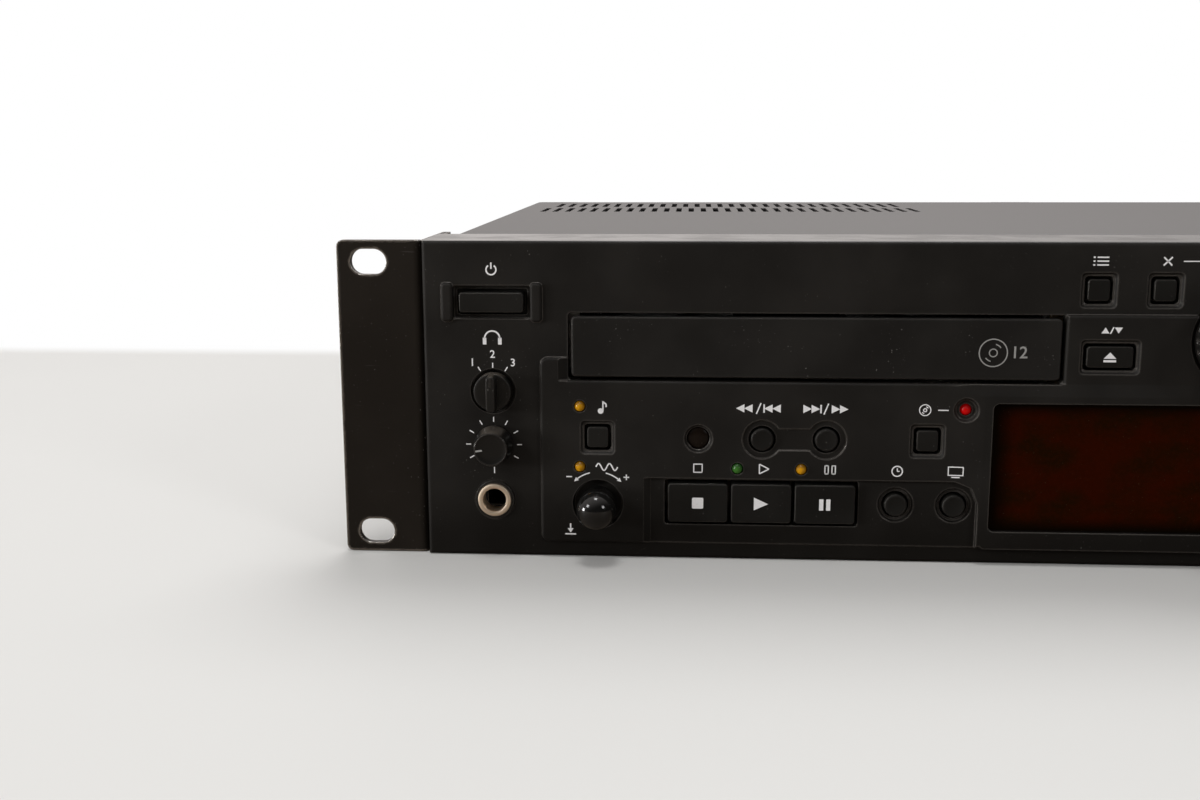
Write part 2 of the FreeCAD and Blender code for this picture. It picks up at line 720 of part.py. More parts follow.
def button_openings():
    """Every dish, recess and hole that the panel has for a button, knob or lamp."""
    cuts = []
    back = Y_PANEL_BACK + 1.0
    for _, x, z, face in square_spots():
        front = (SQUARE_DISH, SQUARE_DISH)
        floor = (SQUARE_DISH - 2 * DISH_TAPER, SQUARE_DISH - 2 * DISH_TAPER)
        hole = SQUARE_CAP + 2 * SHAFT_HOLE_GAP
        cuts.append(tapered(x, z, front, floor, SQUARE_RADIUS, face - 0.01, face + DISH_DEPTH))
        cuts.append(plate(x, z, hole, hole, SQUARE_RADIUS, face, back))
    for _, x, z in eject_spots():
        floor = (EJECT_DISH[0] - 2 * DISH_TAPER, EJECT_DISH[1] - 2 * DISH_TAPER)
        hole = (EJECT_CAP[0] + 2 * SHAFT_HOLE_GAP, EJECT_CAP[1] + 2 * SHAFT_HOLE_GAP)
        dish_y = (Y_BLOCK - 0.01, Y_BLOCK + DISH_DEPTH)
        cuts.append(tapered(x, z, EJECT_DISH, floor, SQUARE_RADIUS, *dish_y))
        cuts.append(plate(x, z, *hole, SQUARE_RADIUS, Y_BLOCK, back))
    for _, x, z, face in round_spots():
        hole = ROUND_CAP_RADIUS + SHAFT_HOLE_GAP
        cuts.append(rod_y(x, z, hole, face, back))
        if face == Y_KEYS:
            dish = ROUND_DISH_RADIUS
            cuts.append(cone_y(x, z, dish, dish - DISH_TAPER, face - 0.01, face + DISH_DEPTH))
    recess_y = (Y_BLOCK - 1.0, Y_BLOCK + SKIP_RECESS_DEPTH)
    for x in SKIP_X:
        cuts.append(rod_y(x, SQUARE_Z, SKIP_RECESS_RADIUS, *recess_y))
    cuts.append(plate(sum(SKIP_X) / 2, SQUARE_Z, KEY_PITCH, SKIP_WAIST, 0.5, *recess_y))
    for colour, x, z, face in led_spots():
        cuts.append(rod_y(x, z, LED_RADIUS + LED_HOLE_GAP, face - 1.0, back))
        if colour == "red":
            cuts.append(rod_y(x, z, SOURCE_LED_DISH, Y_SURROUND - 1.0, Y_BLOCK))
            front = Y_BLOCK - 0.01
            cuts.append(cone_y(x, z, SOURCE_LED_DISH, SOURCE_LED_DISH - DISH_TAPER, front, face))
    cuts.append(cone_y(*IR_POS, IR_RIM_RADIUS, IR_LENS_RADIUS + 0.3, Y_BLOCK - 0.01, Y_BLOCK + 0.9))
    cuts.append(rod_y(*IR_POS, IR_LENS_RADIUS + LED_HOLE_GAP, Y_BLOCK, back))
    return cuts


def knob_openings():
    """The holes and recesses of the turning knobs, the sockets and the big dial."""
    back = Y_PANEL_BACK + 1.0
    hole = SHAFT_RADIUS + SHAFT_HOLE_GAP
    cuts = [rod_y(x, z, hole, -1.0, back) for x, z in knob_spots()]
    cuts.append(rod_y(-COLUMN_X, SELECTOR_Z, SELECTOR_RECESS_RADIUS, -1.0, SELECTOR_RECESS_DEPTH))
    cuts.append(rod_y(-COLUMN_X, JACK_Z, JACK_COLLAR_RADIUS, -1.0, back))
    cuts.append(rod_y(COLUMN_X, JACK_Z, SOCKET_RADIUS, -1.0, back))
    floor = Y_BLOCK + PITCH_RECESS_DEPTH
    cuts.append(cone_y(*PITCH_POS, PITCH_RECESS_RADIUS, PITCH_RECESS_RADIUS - 0.5, Y_BLOCK - 1, floor))
    cuts.append(rod_y(*PITCH_POS, hole, Y_BLOCK, back))
    cuts.append(rod_y(0, DIAL_Z, DIAL_RECESS_RADIUS, Y_BLOCK - 1.0, Y_BLOCK + DIAL_RECESS_DEPTH))
    cuts.append(rod_y(0, DIAL_Z, hole, Y_BLOCK, back))
    return cuts


def power_frame():
    """The pair of rounded cheeks that guard the power button."""
    cheeks = []
    for sign in (-1, 1):
        x = -COLUMN_X + sign * (POWER_WIDTH / 2 + POWER_MARGIN + CHEEK_WIDTH / 2)
        cheek = plate(x, POWER_Z, CHEEK_WIDTH, CHEEK_HEIGHT, 1.0, -CHEEK_RISE, 0.5)
        cheeks.append(cheek.makeFillet(0.8, edges_at_y(cheek, -CHEEK_RISE)))
    return cheeks


def power_openings():
    """The pocket round the power button and the hole behind it."""
    width = POWER_WIDTH + 2 * POWER_MARGIN
    height = POWER_HEIGHT + 2 * POWER_MARGIN
    hole = (POWER_WIDTH + 2 * SHAFT_HOLE_GAP, POWER_HEIGHT + 2 * SHAFT_HOLE_GAP)
    pocket = plate(-COLUMN_X, POWER_Z, width, height, 0.6, -3.0, POWER_POCKET_DEPTH)
    return [pocket, plate(-COLUMN_X, POWER_Z, *hole, 0.6, -1.0, Y_PANEL_BACK + 1.0)]


def drive_openings():
    """The tray's opening with its bevelled notch, and the minidisc panel with its slot."""
    back = Y_PANEL_BACK + 1.0
    width = TRAY_FRONT_WIDTH + 2 * TRAY_GAP
    height = TRAY_FRONT_HEIGHT + 2 * TRAY_GAP
    cuts = [plate(TRAY_X, TRAY_FRONT_Z, width, height, 1.0, -3.0, back)]
    cuts.append(plate(MD_X, TRAY_FRONT_Z, width, height, 1.0, -3.0, Y_MD_PANEL))
    cuts.append(plate(MD_X, MD_SLOT_Z, MD_SLOT_WIDTH, MD_SLOT_HEIGHT, 0.4, -1.0, back))
    bottom = TRAY_FRONT_Z - height / 2
    for centre, sign in ((TRAY_X, -1), (MD_X, 1)):
        edge = centre + sign * width / 2
        far = edge + sign * NOTCH_BEVEL
        ramp = (vec(edge, 0, bottom), vec(edge, Y_BLOCK - 0.1, bottom), vec(far, Y_BLOCK - 0.1, bottom))
        wedge = Part.Face(Part.makePolygon(ramp + ramp[:1]))
        cuts.append(wedge.extrude(vec(0, 0, BLOCK_SHOULDER + 1.0 - bottom)))
    axis_y, axis_z = door_axis()
    pin_reach = MD_SLOT_WIDTH / 2 + 1.2
    cuts.append(rod_x(axis_y, axis_z, MD_PIN_RADIUS + MD_PIN_FIT, MD_X - pin_reach, MD_X + pin_reach))
    return cuts


def front_bezel():
    """The moulded front: a shallow tray open at the back, with the raised faces on it."""
    shell = slab(-HALF, HALF, 0, BEZEL_DEPTH, 0, PANEL_HEIGHT)
    shell = shell.makeFillet(BEZEL_EDGE_RADIUS, edges_at_y(shell, 0))
    inside = HALF - RETURN_WALL
    hollow = slab(
        -inside, inside, FRONT_WALL, BEZEL_DEPTH + 1, RETURN_WALL, PANEL_HEIGHT - RETURN_WALL
    )
    solid = shell.cut(hollow).fuse([control_block(), display_surround(), *power_frame()])
    window = plate(
        0, WINDOW_Z, WINDOW_WIDTH, WINDOW_HEIGHT, WINDOW_RADIUS, Y_SURROUND - 1, Y_PANEL_BACK + 1
    )
    cuts = [window]
    keys_width = 2 * KEY_PITCH + KEY_WIDTH + 2 * KEY_GAP
    for sign in (-1, 1):
        cuts.extend(key_recess(sign))
        centre = sign * KEY_CENTRE_X
        height = KEY_HEIGHT + 2 * KEY_GAP
        cuts.append(plate(centre, KEY_Z, keys_width, height, 0.8, Y_KEYS - 0.5, Y_PANEL_BACK + 1))
    cuts += button_openings() + knob_openings() + power_openings() + drive_openings()
    return solid.cut(cuts).removeSplitter()


# Case -------------------------------------------------------------------------------
def rack_ear(sign):
    """A bent bracket: the slotted ear in front and the leg that screws to the case's side."""
    outer = RACK_WIDTH / 2
    y0, y1 = EAR_SETBACK, EAR_SETBACK + EAR_THICKNESS
    face = slab(HALF, outer, y0, y1, 0, PANEL_HEIGHT)
    leg = slab(HALF, HALF + EAR_THICKNESS, y0, y0 + EAR_LEG, EAR_NOTCH, PANEL_HEIGHT - EAR_NOTCH)
    ear = face.fuse(leg).removeSplitter()
    bend = [
        e
        for e in ear.Edges
        if all(abs(v.X - HALF) < 1e-6 and abs(v.Y - y0) < 1e-6 for v in e.Vertexes)
    ]
    ear = ear.makeFillet(EAR_BEND_RADIUS, bend)
    corners = [
        e
        for e in ear.Edges
        if all(abs(v.X - outer) < 1e-6 for v in e.Vertexes)
        and abs(e.Vertexes[0].Y - e.Vertexes[1].Y) > 1
    ]
    ear = ear.makeFillet(EAR_CORNER_RADIUS, corners)
    cuts = []
    for z in slot_heights():
        slot = plate(SLOT_SPACING_X / 2, z, SLOT_LENGTH, SLOT_WIDTH, SLOT_WIDTH / 2 - 1e-3, 0, 9)
        cuts.append(slot)
    for z in EAR_SCREW_Z:
        cuts.append(rod_x(EAR_SCREW_Y, z, SCREW_HOLE_RADIUS, HALF - 1, HALF + EAR_THICKNESS + 1))
    ear = ear.cut(cuts)
    return ear if sign > 0 else ear.mirror(vec(0, 0, 0), vec(1, 0, 0))


def slot_heights():
    """The heights of the ear's two slots."""
    middle = PANEL_HEIGHT / 2
    return (middle - SLOT_SPACING_Z / 2, middle + SLOT_SPACING_Z / 2)


def top_cover():
    """The folded lid: top and two sides, with two staggered rows of vents."""
    rear = BODY_DEPTH - 0.2
    outer = slab(-HALF, HALF, COVER_FRONT_Y, rear, COVER_SKIRT, COVER_TOP)
    bends = [
        e
        for e in outer.Edges
        if all(abs(v.Z - COVER_TOP) < 1e-6 for v in e.Vertexes)
        and abs(e.Vertexes[0].Y - e.Vertexes[1].Y) > 1
    ]
    outer = outer.makeFillet(COVER_BEND_RADIUS, bends)
    inner = slab(
        -COVER_INSIDE_X, COVER_INSIDE_X, COVER_FRONT_Y - 1, rear + 1, COVER_SKIRT - 1, COVER_INSIDE_Z
    )
    cuts = []
    for row in range(2):
        y = VENT_FRONT_Y + row * VENT_ROW_STEP
        for column in range(VENT_COLUMNS - row):
            x = -VENT_LEFT + (column + row / 2) * VENT_PITCH
            cuts.append(slab(x, x + VENT_WIDTH, y, y + VENT_LENGTH, COVER_INSIDE_Z - 1, COVER_TOP + 1))
    for y, z in side_screw_spots():
        cuts.append(rod_x(y, z, SCREW_HOLE_RADIUS, -HALF - 1, HALF + 1))
    tabs = []
    rear_end = BODY_DEPTH + COVER_SHEET
    for x in TAB_X:
        low, high = x - TAB_WIDTH / 2, x + TAB_WIDTH / 2
        tabs.append(slab(low, high, rear - 1, rear_end, COVER_INSIDE_Z, COVER_TOP))
        tabs.append(slab(low, high, BODY_DEPTH, rear_end, COVER_TOP - TAB_HEIGHT, COVER_TOP))
        cuts.append(rod_y(x, COVER_TOP - TAB_SCREW_DROP, SCREW_HOLE_RADIUS, BODY_DEPTH - 1, rear_end + 1))
    outer = outer.cut(inner).fuse(tabs).removeSplitter()
    return outer.cut(cuts)


def side_screw_spots():
    """The screws in each side of the case: those of the ears and those of the cover."""
    ears = [(EAR_SCREW_Y, z) for z in EAR_SCREW_Z]
    return ears + [(y, SIDE_SCREW_Z) for y in SIDE_SCREW_Y]


def board_posts():
    """Posts of the chassis under the main board."""
    left, right = MAIN_BOARD_LEFT + POST_INSET, MAIN_BOARD_RIGHT - POST_INSET
    xs = (left, (left + right) / 2, right)
    ys = (MAIN_BOARD_FRONT + POST_INSET, MAIN_BOARD_REAR - POST_INSET)
    return [(x, y) for x in xs for y in ys]


def bottom_chassis():
    """The folded pan: floor, side and rear flanges, and the steel panel behind the bezel."""
    half = CHASSIS_HALF
    tongue_z = RETURN_WALL
    pieces = [slab(-half, half, COVER_FRONT_Y, REAR_INSIDE_Y, 0, SHEET)]
    pieces.append(slab(-half, half, COVER_FRONT_Y, STEP_Y, 0, STEP_TOP))
    pieces.append(slab(-half, half, SUBPANEL_Y, STEP_Y, tongue_z, STEP_TOP))
    pieces.append(slab(-half, half, SUBPANEL_Y, SUBPANEL_Y + SHEET, tongue_z, COVER_INSIDE_Z - 1))
    rear = REAR_INSIDE_Y
    pieces.append(slab(-half, half, rear - SHEET, rear, 0, FLANGE_HEIGHT))
    cheek_rear = EAR_SCREW_Y + 10
    for sign in (-1, 1):
        inner, outer = sorted((sign * (half - SHEET), sign * half))
        pieces.append(slab(inner, outer, COVER_FRONT_Y, rear, 0, FLANGE_HEIGHT))
        pieces.append(slab(inner, outer, SUBPANEL_Y, cheek_rear, tongue_z, COVER_INSIDE_Z - 1))
        low, high = sorted((sign * half, sign * COVER_INSIDE_X))
        for y, z in side_screw_spots():
            pieces.append(rod_x(y, z, 3.6, low, high))
    for x, y in board_posts():
        pieces.append(rod_z(x, y, STANDOFF_RADIUS, SHEET - 0.2, MAIN_BOARD_Z))
    for x, z in standoff_spots():
        pieces.append(rod_y(x, z, STANDOFF_RADIUS, BOARD_Y + BOARD_THICKNESS, SUBPANEL_Y + 0.2))
    pan = fused(pieces)
    cuts = []
    width = 2 * FRAME_INSIDE + 0.4
    front = (SUBPANEL_Y - 1, SUBPANEL_Y + SHEET + 0.5)
    for x in (TRAY_X, MD_X):
        cuts.append(slab(x - width / 2, x + width / 2, *front, 49.6, 71.0))
    block = JACK_BODY + 2
    cuts.append(slab(-COLUMN_X - block / 2, block / 2 - COLUMN_X, *front, STEP_TOP, JACK_Z + block / 2))
    for y, z in side_screw_spots():
        cuts.append(rod_x(y, z, SCREW_HOLE_RADIUS, -HALF - 1, HALF + 1))
    for x in mirrored_pair(FOOT_SPACING_X / 2):
        for y in (FOOT_FRONT_Y, FOOT_FRONT_Y + FOOT_SPACING_Y):
            cuts.append(rod_z(x, y, FOOT_HOLE_RADIUS, -1, SHEET + 1))
    y = MAIN_BOARD_FRONT + FLOOR_VENT_INSET
    for i in range(FLOOR_VENTS):
        x = MAIN_BOARD_LEFT + FLOOR_VENT_INSET + i * FLOOR_VENT_PITCH
        cuts.append(slab(x, x + FLOOR_VENT_WIDTH, y, y + FLOOR_VENT_LENGTH, -1, SHEET + 1))
    for x in REAR_SCREW_X:
        cuts.append(rod_y(x, REAR_SCREW_Z, SCREW_HOLE_RADIUS, rear - 3, rear + 1))
    return pan.cut(cuts).removeSplitter()


def rear_panel():
    """The back plate with its connector cut-outs and a flange under the cover."""
    half = CHASSIS_HALF
    top = COVER_INSIDE_Z
    back = slab(-half, half, REAR_INSIDE_Y, BODY_DEPTH, 0.6, top)
    flange = slab(-half, half, BODY_DEPTH - 14, BODY_DEPTH, top - SHEET, top)
    cuts = []
    for x, z in rca_spots():
        cuts.append(rod_y(x, z, RCA_BARREL_RADIUS + 0.3, REAR_INSIDE_Y - 1, BODY_DEPTH + 1))
    for x in COAX_COLUMNS:
        cuts.append(rod_y(x, COAX_Z, RCA_BARREL_RADIUS + 0.3, REAR_INSIDE_Y - 1, BODY_DEPTH + 1))
        size = OPTICAL_SIZE + 0.4
        cuts.append(plate(x, OPTICAL_Z, size, size, 0.5, REAR_INSIDE_Y - 1, BODY_DEPTH + 1))
    inlet = (INLET_SIZE[0] + 0.4, INLET_SIZE[1] + 0.4)
    cuts.append(plate(*INLET_POS, *inlet, 2.0, REAR_INSIDE_Y - 1, BODY_DEPTH + 1))
    for x in REAR_SCREW_X:
        cuts.append(rod_y(x, REAR_SCREW_Z, SCREW_HOLE_RADIUS, REAR_INSIDE_Y - 1, BODY_DEPTH + 1))
    for x in TAB_X:
        z = COVER_TOP - TAB_SCREW_DROP
        cuts.append(rod_y(x, z, SCREW_HOLE_RADIUS, REAR_INSIDE_Y - 1, BODY_DEPTH + 1))
    return back.fuse(flange).removeSplitter().cut(cuts)


def screw(place, axis):
    """A pan-head screw. The head's seat is at the place, and the axis points out of the head."""
    profile = (
        (0, -SCREW_LENGTH),
        (SCREW_RADIUS, -SCREW_LENGTH),
        (SCREW_RADIUS, 0),
        (SCREW_HEAD_RADIUS, 0),
        (SCREW_HEAD_RADIUS, SCREW_HEAD * 0.5),
        (SCREW_HEAD_RADIUS * 0.75, SCREW_HEAD),
        (0, SCREW_HEAD),
    )
    return turned(profile, place, axis)


def screws():
    """Every case screw: ears, cover sides, cover rear and rear panel."""
    made = []
    for sign in (-1, 1):
        axis = vec(sign, 0, 0)
        for z in EAR_SCREW_Z:
            made.append(screw(vec(sign * (HALF + EAR_THICKNESS), EAR_SCREW_Y, z), axis))
        for y in SIDE_SCREW_Y:
            made.append(screw(vec(sign * HALF, y, SIDE_SCREW_Z), axis))
    for x in TAB_X:
        place = vec(x, BODY_DEPTH + COVER_SHEET, COVER_TOP - TAB_SCREW_DROP)
        made.append(screw(place, vec(0, 1, 0)))
    for x in REAR_SCREW_X:
        made.append(screw(vec(x, BODY_DEPTH, REAR_SCREW_Z), vec(0, 1, 0)))
    return Part.makeCompound(made)


# Front parts that stay put ----------------------------------------------------------
def display_window():
    """The smoked window: a plate in the opening, with a lip glued behind the panel."""
    width = WINDOW_WIDTH - 2 * WINDOW_FIT
    height = WINDOW_HEIGHT - 2 * WINDOW_FIT
    front = Y_SURROUND + WINDOW_SETBACK
    pane = plate(0, WINDOW_Z, width, height, WINDOW_RADIUS, front, Y_PANEL_BACK)
    lip = plate(
        0,
        WINDOW_Z,
        WINDOW_WIDTH + 2 * WINDOW_LIP,
        WINDOW_HEIGHT + 2 * WINDOW_LIP,
        WINDOW_RADIUS,
        Y_PANEL_BACK,
        Y_PANEL_BACK + WINDOW_LIP_THICKNESS,
    )
    return pane.fuse(lip).removeSplitter()


def led(x, z, face):
    """A lamp: a dome in front of the panel and a body that reaches the front board."""
    dome = Part.makeSphere(LED_RADIUS, vec(x, face - LED_PROUD + LED_RADIUS, z))
    body = rod_y(x, z, LED_RADIUS, face - LED_PROUD + LED_RADIUS, BOARD_Y)
    foot = rod_y(x, z, LED_RADIUS + LED_FLANGE, BOARD_Y - 4.0, BOARD_Y - 3.0)
    return fused([dome, body, foot])


def leds(colour):
    """All lamps of one colour."""
    spots = [s for s in led_spots() if s[0] == colour]
    return Part.makeCompound([led(x, z, face) for _, x, z, face in spots])


def ir_window():
    """The dark lens over the remote control's receiver."""
    front = Y_BLOCK + 0.6
    profile = (
        (0, front),
        (IR_LENS_RADIUS * 0.55, front + 0.15),
        (IR_LENS_RADIUS, front + 0.8),
        (IR_LENS_RADIUS, Y_PANEL_BACK),
        (IR_LENS_RADIUS + 1.0, Y_PANEL_BACK),
        (IR_LENS_RADIUS + 1.0, BOARD_Y),
        (0, BOARD_Y),
    )
    return turned(profile, vec(IR_POS[0], 0, IR_POS[1]), vec(0, 1, 0))


def phones_jack():
    """The phones jack: collar, ring and a long body with the plug's bore."""
    x = -COLUMN_X
    flange = JACK_COLLAR_RADIUS + 1.2
    collar = rod_y(x, JACK_Z, JACK_COLLAR_RADIUS - 0.1, -JACK_COLLAR_PROUD, Y_PANEL_BACK)
    nut = rod_y(x, JACK_Z, flange, Y_PANEL_BACK, Y_PANEL_BACK + 1.5)
    ring = rod_y(x, JACK_Z, JACK_RING_RADIUS, -JACK_RING_PROUD, 0)
    ring = ring.makeChamfer(0.3, edges_at_y(ring, -JACK_RING_PROUD))
    half = JACK_BODY / 2
    body = slab(x - half, x + half, Y_PANEL_BACK + 1, JACK_DEPTH, JACK_Z - half, JACK_Z + half)
    bore = rod_y(x, JACK_Z, JACK_HOLE_RADIUS, -JACK_RING_PROUD - 1, JACK_DEPTH - 1.5)
    return fused([collar, nut, ring, body]).cut(bore)


def keyboard_socket():
    """The round socket for a titling keyboard, with its keyed plug well."""
    x = COLUMN_X
    shell = rod_y(x, JACK_Z, SOCKET_RADIUS - 0.1, -0.3, Y_PANEL_BACK)
    half = JACK_BODY / 2 + 0.5
    body = slab(x - half, x + half, Y_PANEL_BACK, BOARD_Y, JACK_Z - half, JACK_Z + half)
    well = rod_y(x, JACK_Z, SOCKET_RADIUS - 0.7, -1.0, SOCKET_DEPTH - 1)
    core = rod_y(x, JACK_Z, SOCKET_RADIUS - 1.5, 0.2, SOCKET_DEPTH)
    notch = slab(x - 0.9, x + 0.9, -1, SOCKET_DEPTH - 1, JACK_Z + 0.8, JACK_Z + SOCKET_RADIUS - 1.4)
    return fused([shell, body]).cut(well).fuse(core.cut(notch)).removeSplitter()


def standoff_spots():
    """Where the chassis carries the front board."""
    high = BOARD_TOP - STANDOFF_INSET
    sides = [(x, z) for x in mirrored_pair(BOARD_HALF_WIDTH - STANDOFF_INSET) for z in (STANDOFF_LOW_Z, high)]
    middle = BOARD_ISLAND - STANDOFF_INSET
    return sides + [(x, z) for x in mirrored_pair(middle) for z in (BOARD_BOTTOM + STANDOFF_INSET, high)]


def switch_spots():
    """The push switches on the front board, one behind each button."""
    spots = [(x, z) for _, x, z, _ in square_spots()]
    spots += [(x, z) for _, x, z in eject_spots()]
    spots += [(x, z) for _, x, z, _ in round_spots()]
    spots += [(x, KEY_Z) for _, x in key_spots()]
    return spots


def front_board():
    """The board behind the bezel: switches, pots, power switch and the display tube."""
    y0, y1 = BOARD_Y, BOARD_Y + BOARD_THICKNESS
    pieces = [slab(-BOARD_HALF_WIDTH, BOARD_HALF_WIDTH, y0, y1, BOARD_BOTTOM, BOARD_STRIP_TOP)]
    column = COLUMN_X - BOARD_HALF_WIDTH + COLUMN_X
    edges = (-BOARD_HALF_WIDTH, -column, -BOARD_ISLAND, BOARD_ISLAND, column, BOARD_HALF_WIDTH)
    for low, high in zip(edges[::2], edges[1::2]):
        pieces.append(slab(low, high, y0, y1, BOARD_BOTTOM, BOARD_TOP))
    for x, z in switch_spots():
        half = SWITCH_SIZE / 2
        pieces.append(slab(x - half, x + half, y0 - SWITCH_HEIGHT, y0, z - half, z + half))
        pieces.append(rod_y(x, z, PLUNGER_RADIUS, Y_SWITCH, y0 - SWITCH_HEIGHT))
    half = POT_SIZE / 2
    for x, z in (*knob_spots(), PITCH_POS, (0, DIAL_Z)):
        pieces.append(slab(x - half, x + half, Y_POT, y0, z - half, z + half))
    tube = (WINDOW_WIDTH - 2 * TUBE_MARGIN, WINDOW_HEIGHT - 2 * TUBE_MARGIN)
    tube_front = Y_PANEL_BACK + WINDOW_LIP_THICKNESS + TUBE_FRONT_GAP
    pieces.append(plate(0, WINDOW_Z, *tube, 1.0, tube_front, y0))
    power_y = Y_FLANGE + FLANGE_THICKNESS + POWER_TRAVEL + 1.4
    pieces.append(slab(-COLUMN_X - 7, -COLUMN_X + 7, power_y, y0, POWER_Z - 5, POWER_Z + 5))
    board = fused(pieces)
    cuts = []
    for x, z in (*knob_spots(), PITCH_POS, (0, DIAL_Z)):
        cuts.append(rod_y(x, z, SHAFT_RADIUS + SHAFT_FIT, Y_POT - 1, y0 - 1.0))
    half = JACK_BODY / 2 + RUNNING_GAP
    jack = (-BOARD_HALF_WIDTH - 1, half - COLUMN_X, y0 - 1, y1 + 1, BOARD_BOTTOM - 1, JACK_Z + half)
    cuts.append(slab(*jack))
    return board.cut(cuts)


# Buttons and knobs ------------------------------------------------------------------
def stemmed(cap, x, z, flange, travel):
    """A cap with the flange that keeps it behind the panel and the stem to its switch."""
    flange_end = Y_FLANGE + FLANGE_THICKNESS
    stem_end = Y_SWITCH - travel - SWITCH_SLACK
    stem = rod_y(x, z, STEM_RADIUS, flange_end, stem_end)
    return fused([cap, flange, stem])


def square_button(x, z, face, size, proud):
    """A square or oblong push button."""
    front = face - proud + DISH_DEPTH
    cap = plate(x, z, *size, SQUARE_RADIUS - 0.2, front, Y_FLANGE)
    cap = cap.makeChamfer(CAP_CHAMFER, edges_at_y(cap, front))
    lip = (size[0] + 2 * FLANGE_LIP, size[1] + 2 * FLANGE_LIP)
    flange = plate(x, z, *lip, SQUARE_RADIUS, Y_FLANGE, Y_FLANGE + FLANGE_THICKNESS)
    return stemmed(cap, x, z, flange, SMALL_TRAVEL)


def round_button(x, z, face):
    """A round push button with a rounded rim."""
    cap = rod_y(x, z, ROUND_CAP_RADIUS, face - ROUND_PROUD, Y_FLANGE)
    cap = cap.makeChamfer(CAP_CHAMFER, edges_at_y(cap, face - ROUND_PROUD))
    flange = rod_y(x, z, ROUND_CAP_RADIUS + FLANGE_LIP, Y_FLANGE, Y_FLANGE + FLANGE_THICKNESS)
    return stemmed(cap, x, z, flange, SMALL_TRAVEL)


def transport_key(x):
    """A wide key of the transport row. Its flange is no wider than the cap, to clear the next."""
    front = Y_KEYS - KEY_PROUD
    cap = plate(x, KEY_Z, KEY_WIDTH, KEY_HEIGHT, KEY_RADIUS, front, Y_FLANGE)
    cap = cap.makeChamfer(CAP_CHAMFER, edges_at_y(cap, front))
    height = KEY_HEIGHT + 2 * KEY_GAP + 2 * FLANGE_LIP
    flange = plate(x, KEY_Z, KEY_WIDTH, height, KEY_RADIUS, Y_FLANGE, Y_FLANGE + FLANGE_THICKNESS)
    return stemmed(cap, x, KEY_Z, flange, KEY_TRAVEL)


def power_button():
    """The oblong mains button."""
    x = -COLUMN_X
    cap = plate(x, POWER_Z, POWER_WIDTH, POWER_HEIGHT, 0.5, -POWER_PROUD, Y_FLANGE)
    cap = cap.makeChamfer(CAP_CHAMFER, edges_at_y(cap, -POWER_PROUD))
    lip = (POWER_WIDTH + 2 * FLANGE_LIP, POWER_HEIGHT + 2 * FLANGE_LIP)
    flange = plate(x, POWER_Z, *lip, 0.5, Y_FLANGE, Y_FLANGE + FLANGE_THICKNESS)
    stem_end = Y_FLANGE + FLANGE_THICKNESS + 1.0
    return fused([cap, flange, rod_y(x, POWER_Z, STEM_RADIUS, Y_FLANGE, stem_end)])


def knob_shaft(x, z, front):
    """A knob's shaft, from the knob into the pot."""
    return rod_y(x, z, SHAFT_RADIUS, front, BOARD_Y - 1.3)


def selector_knob():
    """The three-way selector: a low disc with a grip bar across it."""
    x, z = -COLUMN_X, SELECTOR_Z
    disc = rod_y(x, z, SELECTOR_RADIUS, -SELECTOR_DISC_PROUD, SELECTOR_RECESS_DEPTH - RUNNING_GAP)
    disc = disc.makeChamfer(0.5, edges_at_y(disc, -SELECTOR_DISC_PROUD))
    length = 2 * SELECTOR_RADIUS
    bar = plate(x, z, SELECTOR_BAR_WIDTH, length, 1.2, -SELECTOR_BAR_PROUD, -1.0)
    bar = bar.makeChamfer(0.5, edges_at_y(bar, -SELECTOR_BAR_PROUD))
    notch = slab(x - 0.4, x + 0.4, -SELECTOR_BAR_PROUD - 1, -SELECTOR_BAR_PROUD + 0.5, z + 1.5, z + 6)
    return fused([disc, bar, knob_shaft(x, z, 0)]).cut(notch)


def level_knob(x, z, pointer_deg):
    """A fluted round knob with a pointer groove, turned the given angle from the top."""
    profile = (
        (0, -LEVEL_PROUD),
        (LEVEL_RADIUS - 1.0, -LEVEL_PROUD + 0.1),
        (LEVEL_RADIUS - 0.3, -LEVEL_PROUD + 0.8),
        (LEVEL_RADIUS, -0.3),
        (0, -0.3),
    )
    centre = vec(x, 0, z)
    body = turned(profile, centre, vec(0, 1, 0))
    groove = slab(x - 0.4, x + 0.4, -LEVEL_PROUD - 1, -LEVEL_PROUD + 0.5, z + 2.2, z + 6)
    groove.rotate(centre, vec(0, 1, 0), -pointer_deg)
    return fused([body, knob_shaft(x, z, -0.4)]).cut(groove)


def push_shaft(x, z, front, socket_end):
    """The part of a push-and-turn control that slides: a spindle inside the turning knob."""
    spindle = rod_y(x, z, SPINDLE_RADIUS, front, socket_end)
    stem_end = BOARD_Y - 1.0 - PUSH_TRAVEL - SWITCH_SLACK
    return fused([spindle, rod_y(x, z, SHAFT_RADIUS, socket_end, stem_end)])


def dial_socket(x, z, front, back):
    """The bore in a turning knob for its sliding spindle."""
    return rod_y(x, z, SPINDLE_RADIUS + SPINDLE_FIT, front, back)


def pitch_knob():
    """The glossy domed pitch knob."""
    x, z = PITCH_POS
    back = Y_BLOCK + PITCH_RECESS_DEPTH - PUSH_TRAVEL - RUNNING_GAP
    side = Y_BLOCK - PITCH_SIDE
    profile = [(0, back), (PITCH_RADIUS * 0.9, back), (PITCH_RADIUS, back - 1.5)]
    for step in range(7):
        a = math.radians(step * 15)
        profile.append((PITCH_RADIUS * math.cos(a), side - PITCH_DOME * math.sin(a)))
    knob = turned(profile, vec(x, 0, z), vec(0, 1, 0))
    return knob.cut(dial_socket(x, z, side, back + 1))


def pitch_shaft():
    """The pitch knob's sliding spindle."""
    x, z = PITCH_POS
    back = Y_BLOCK + PITCH_RECESS_DEPTH - PUSH_TRAVEL - RUNNING_GAP
    return push_shaft(x, z, Y_BLOCK - PITCH_SIDE + RUNNING_GAP, back + RUNNING_GAP)


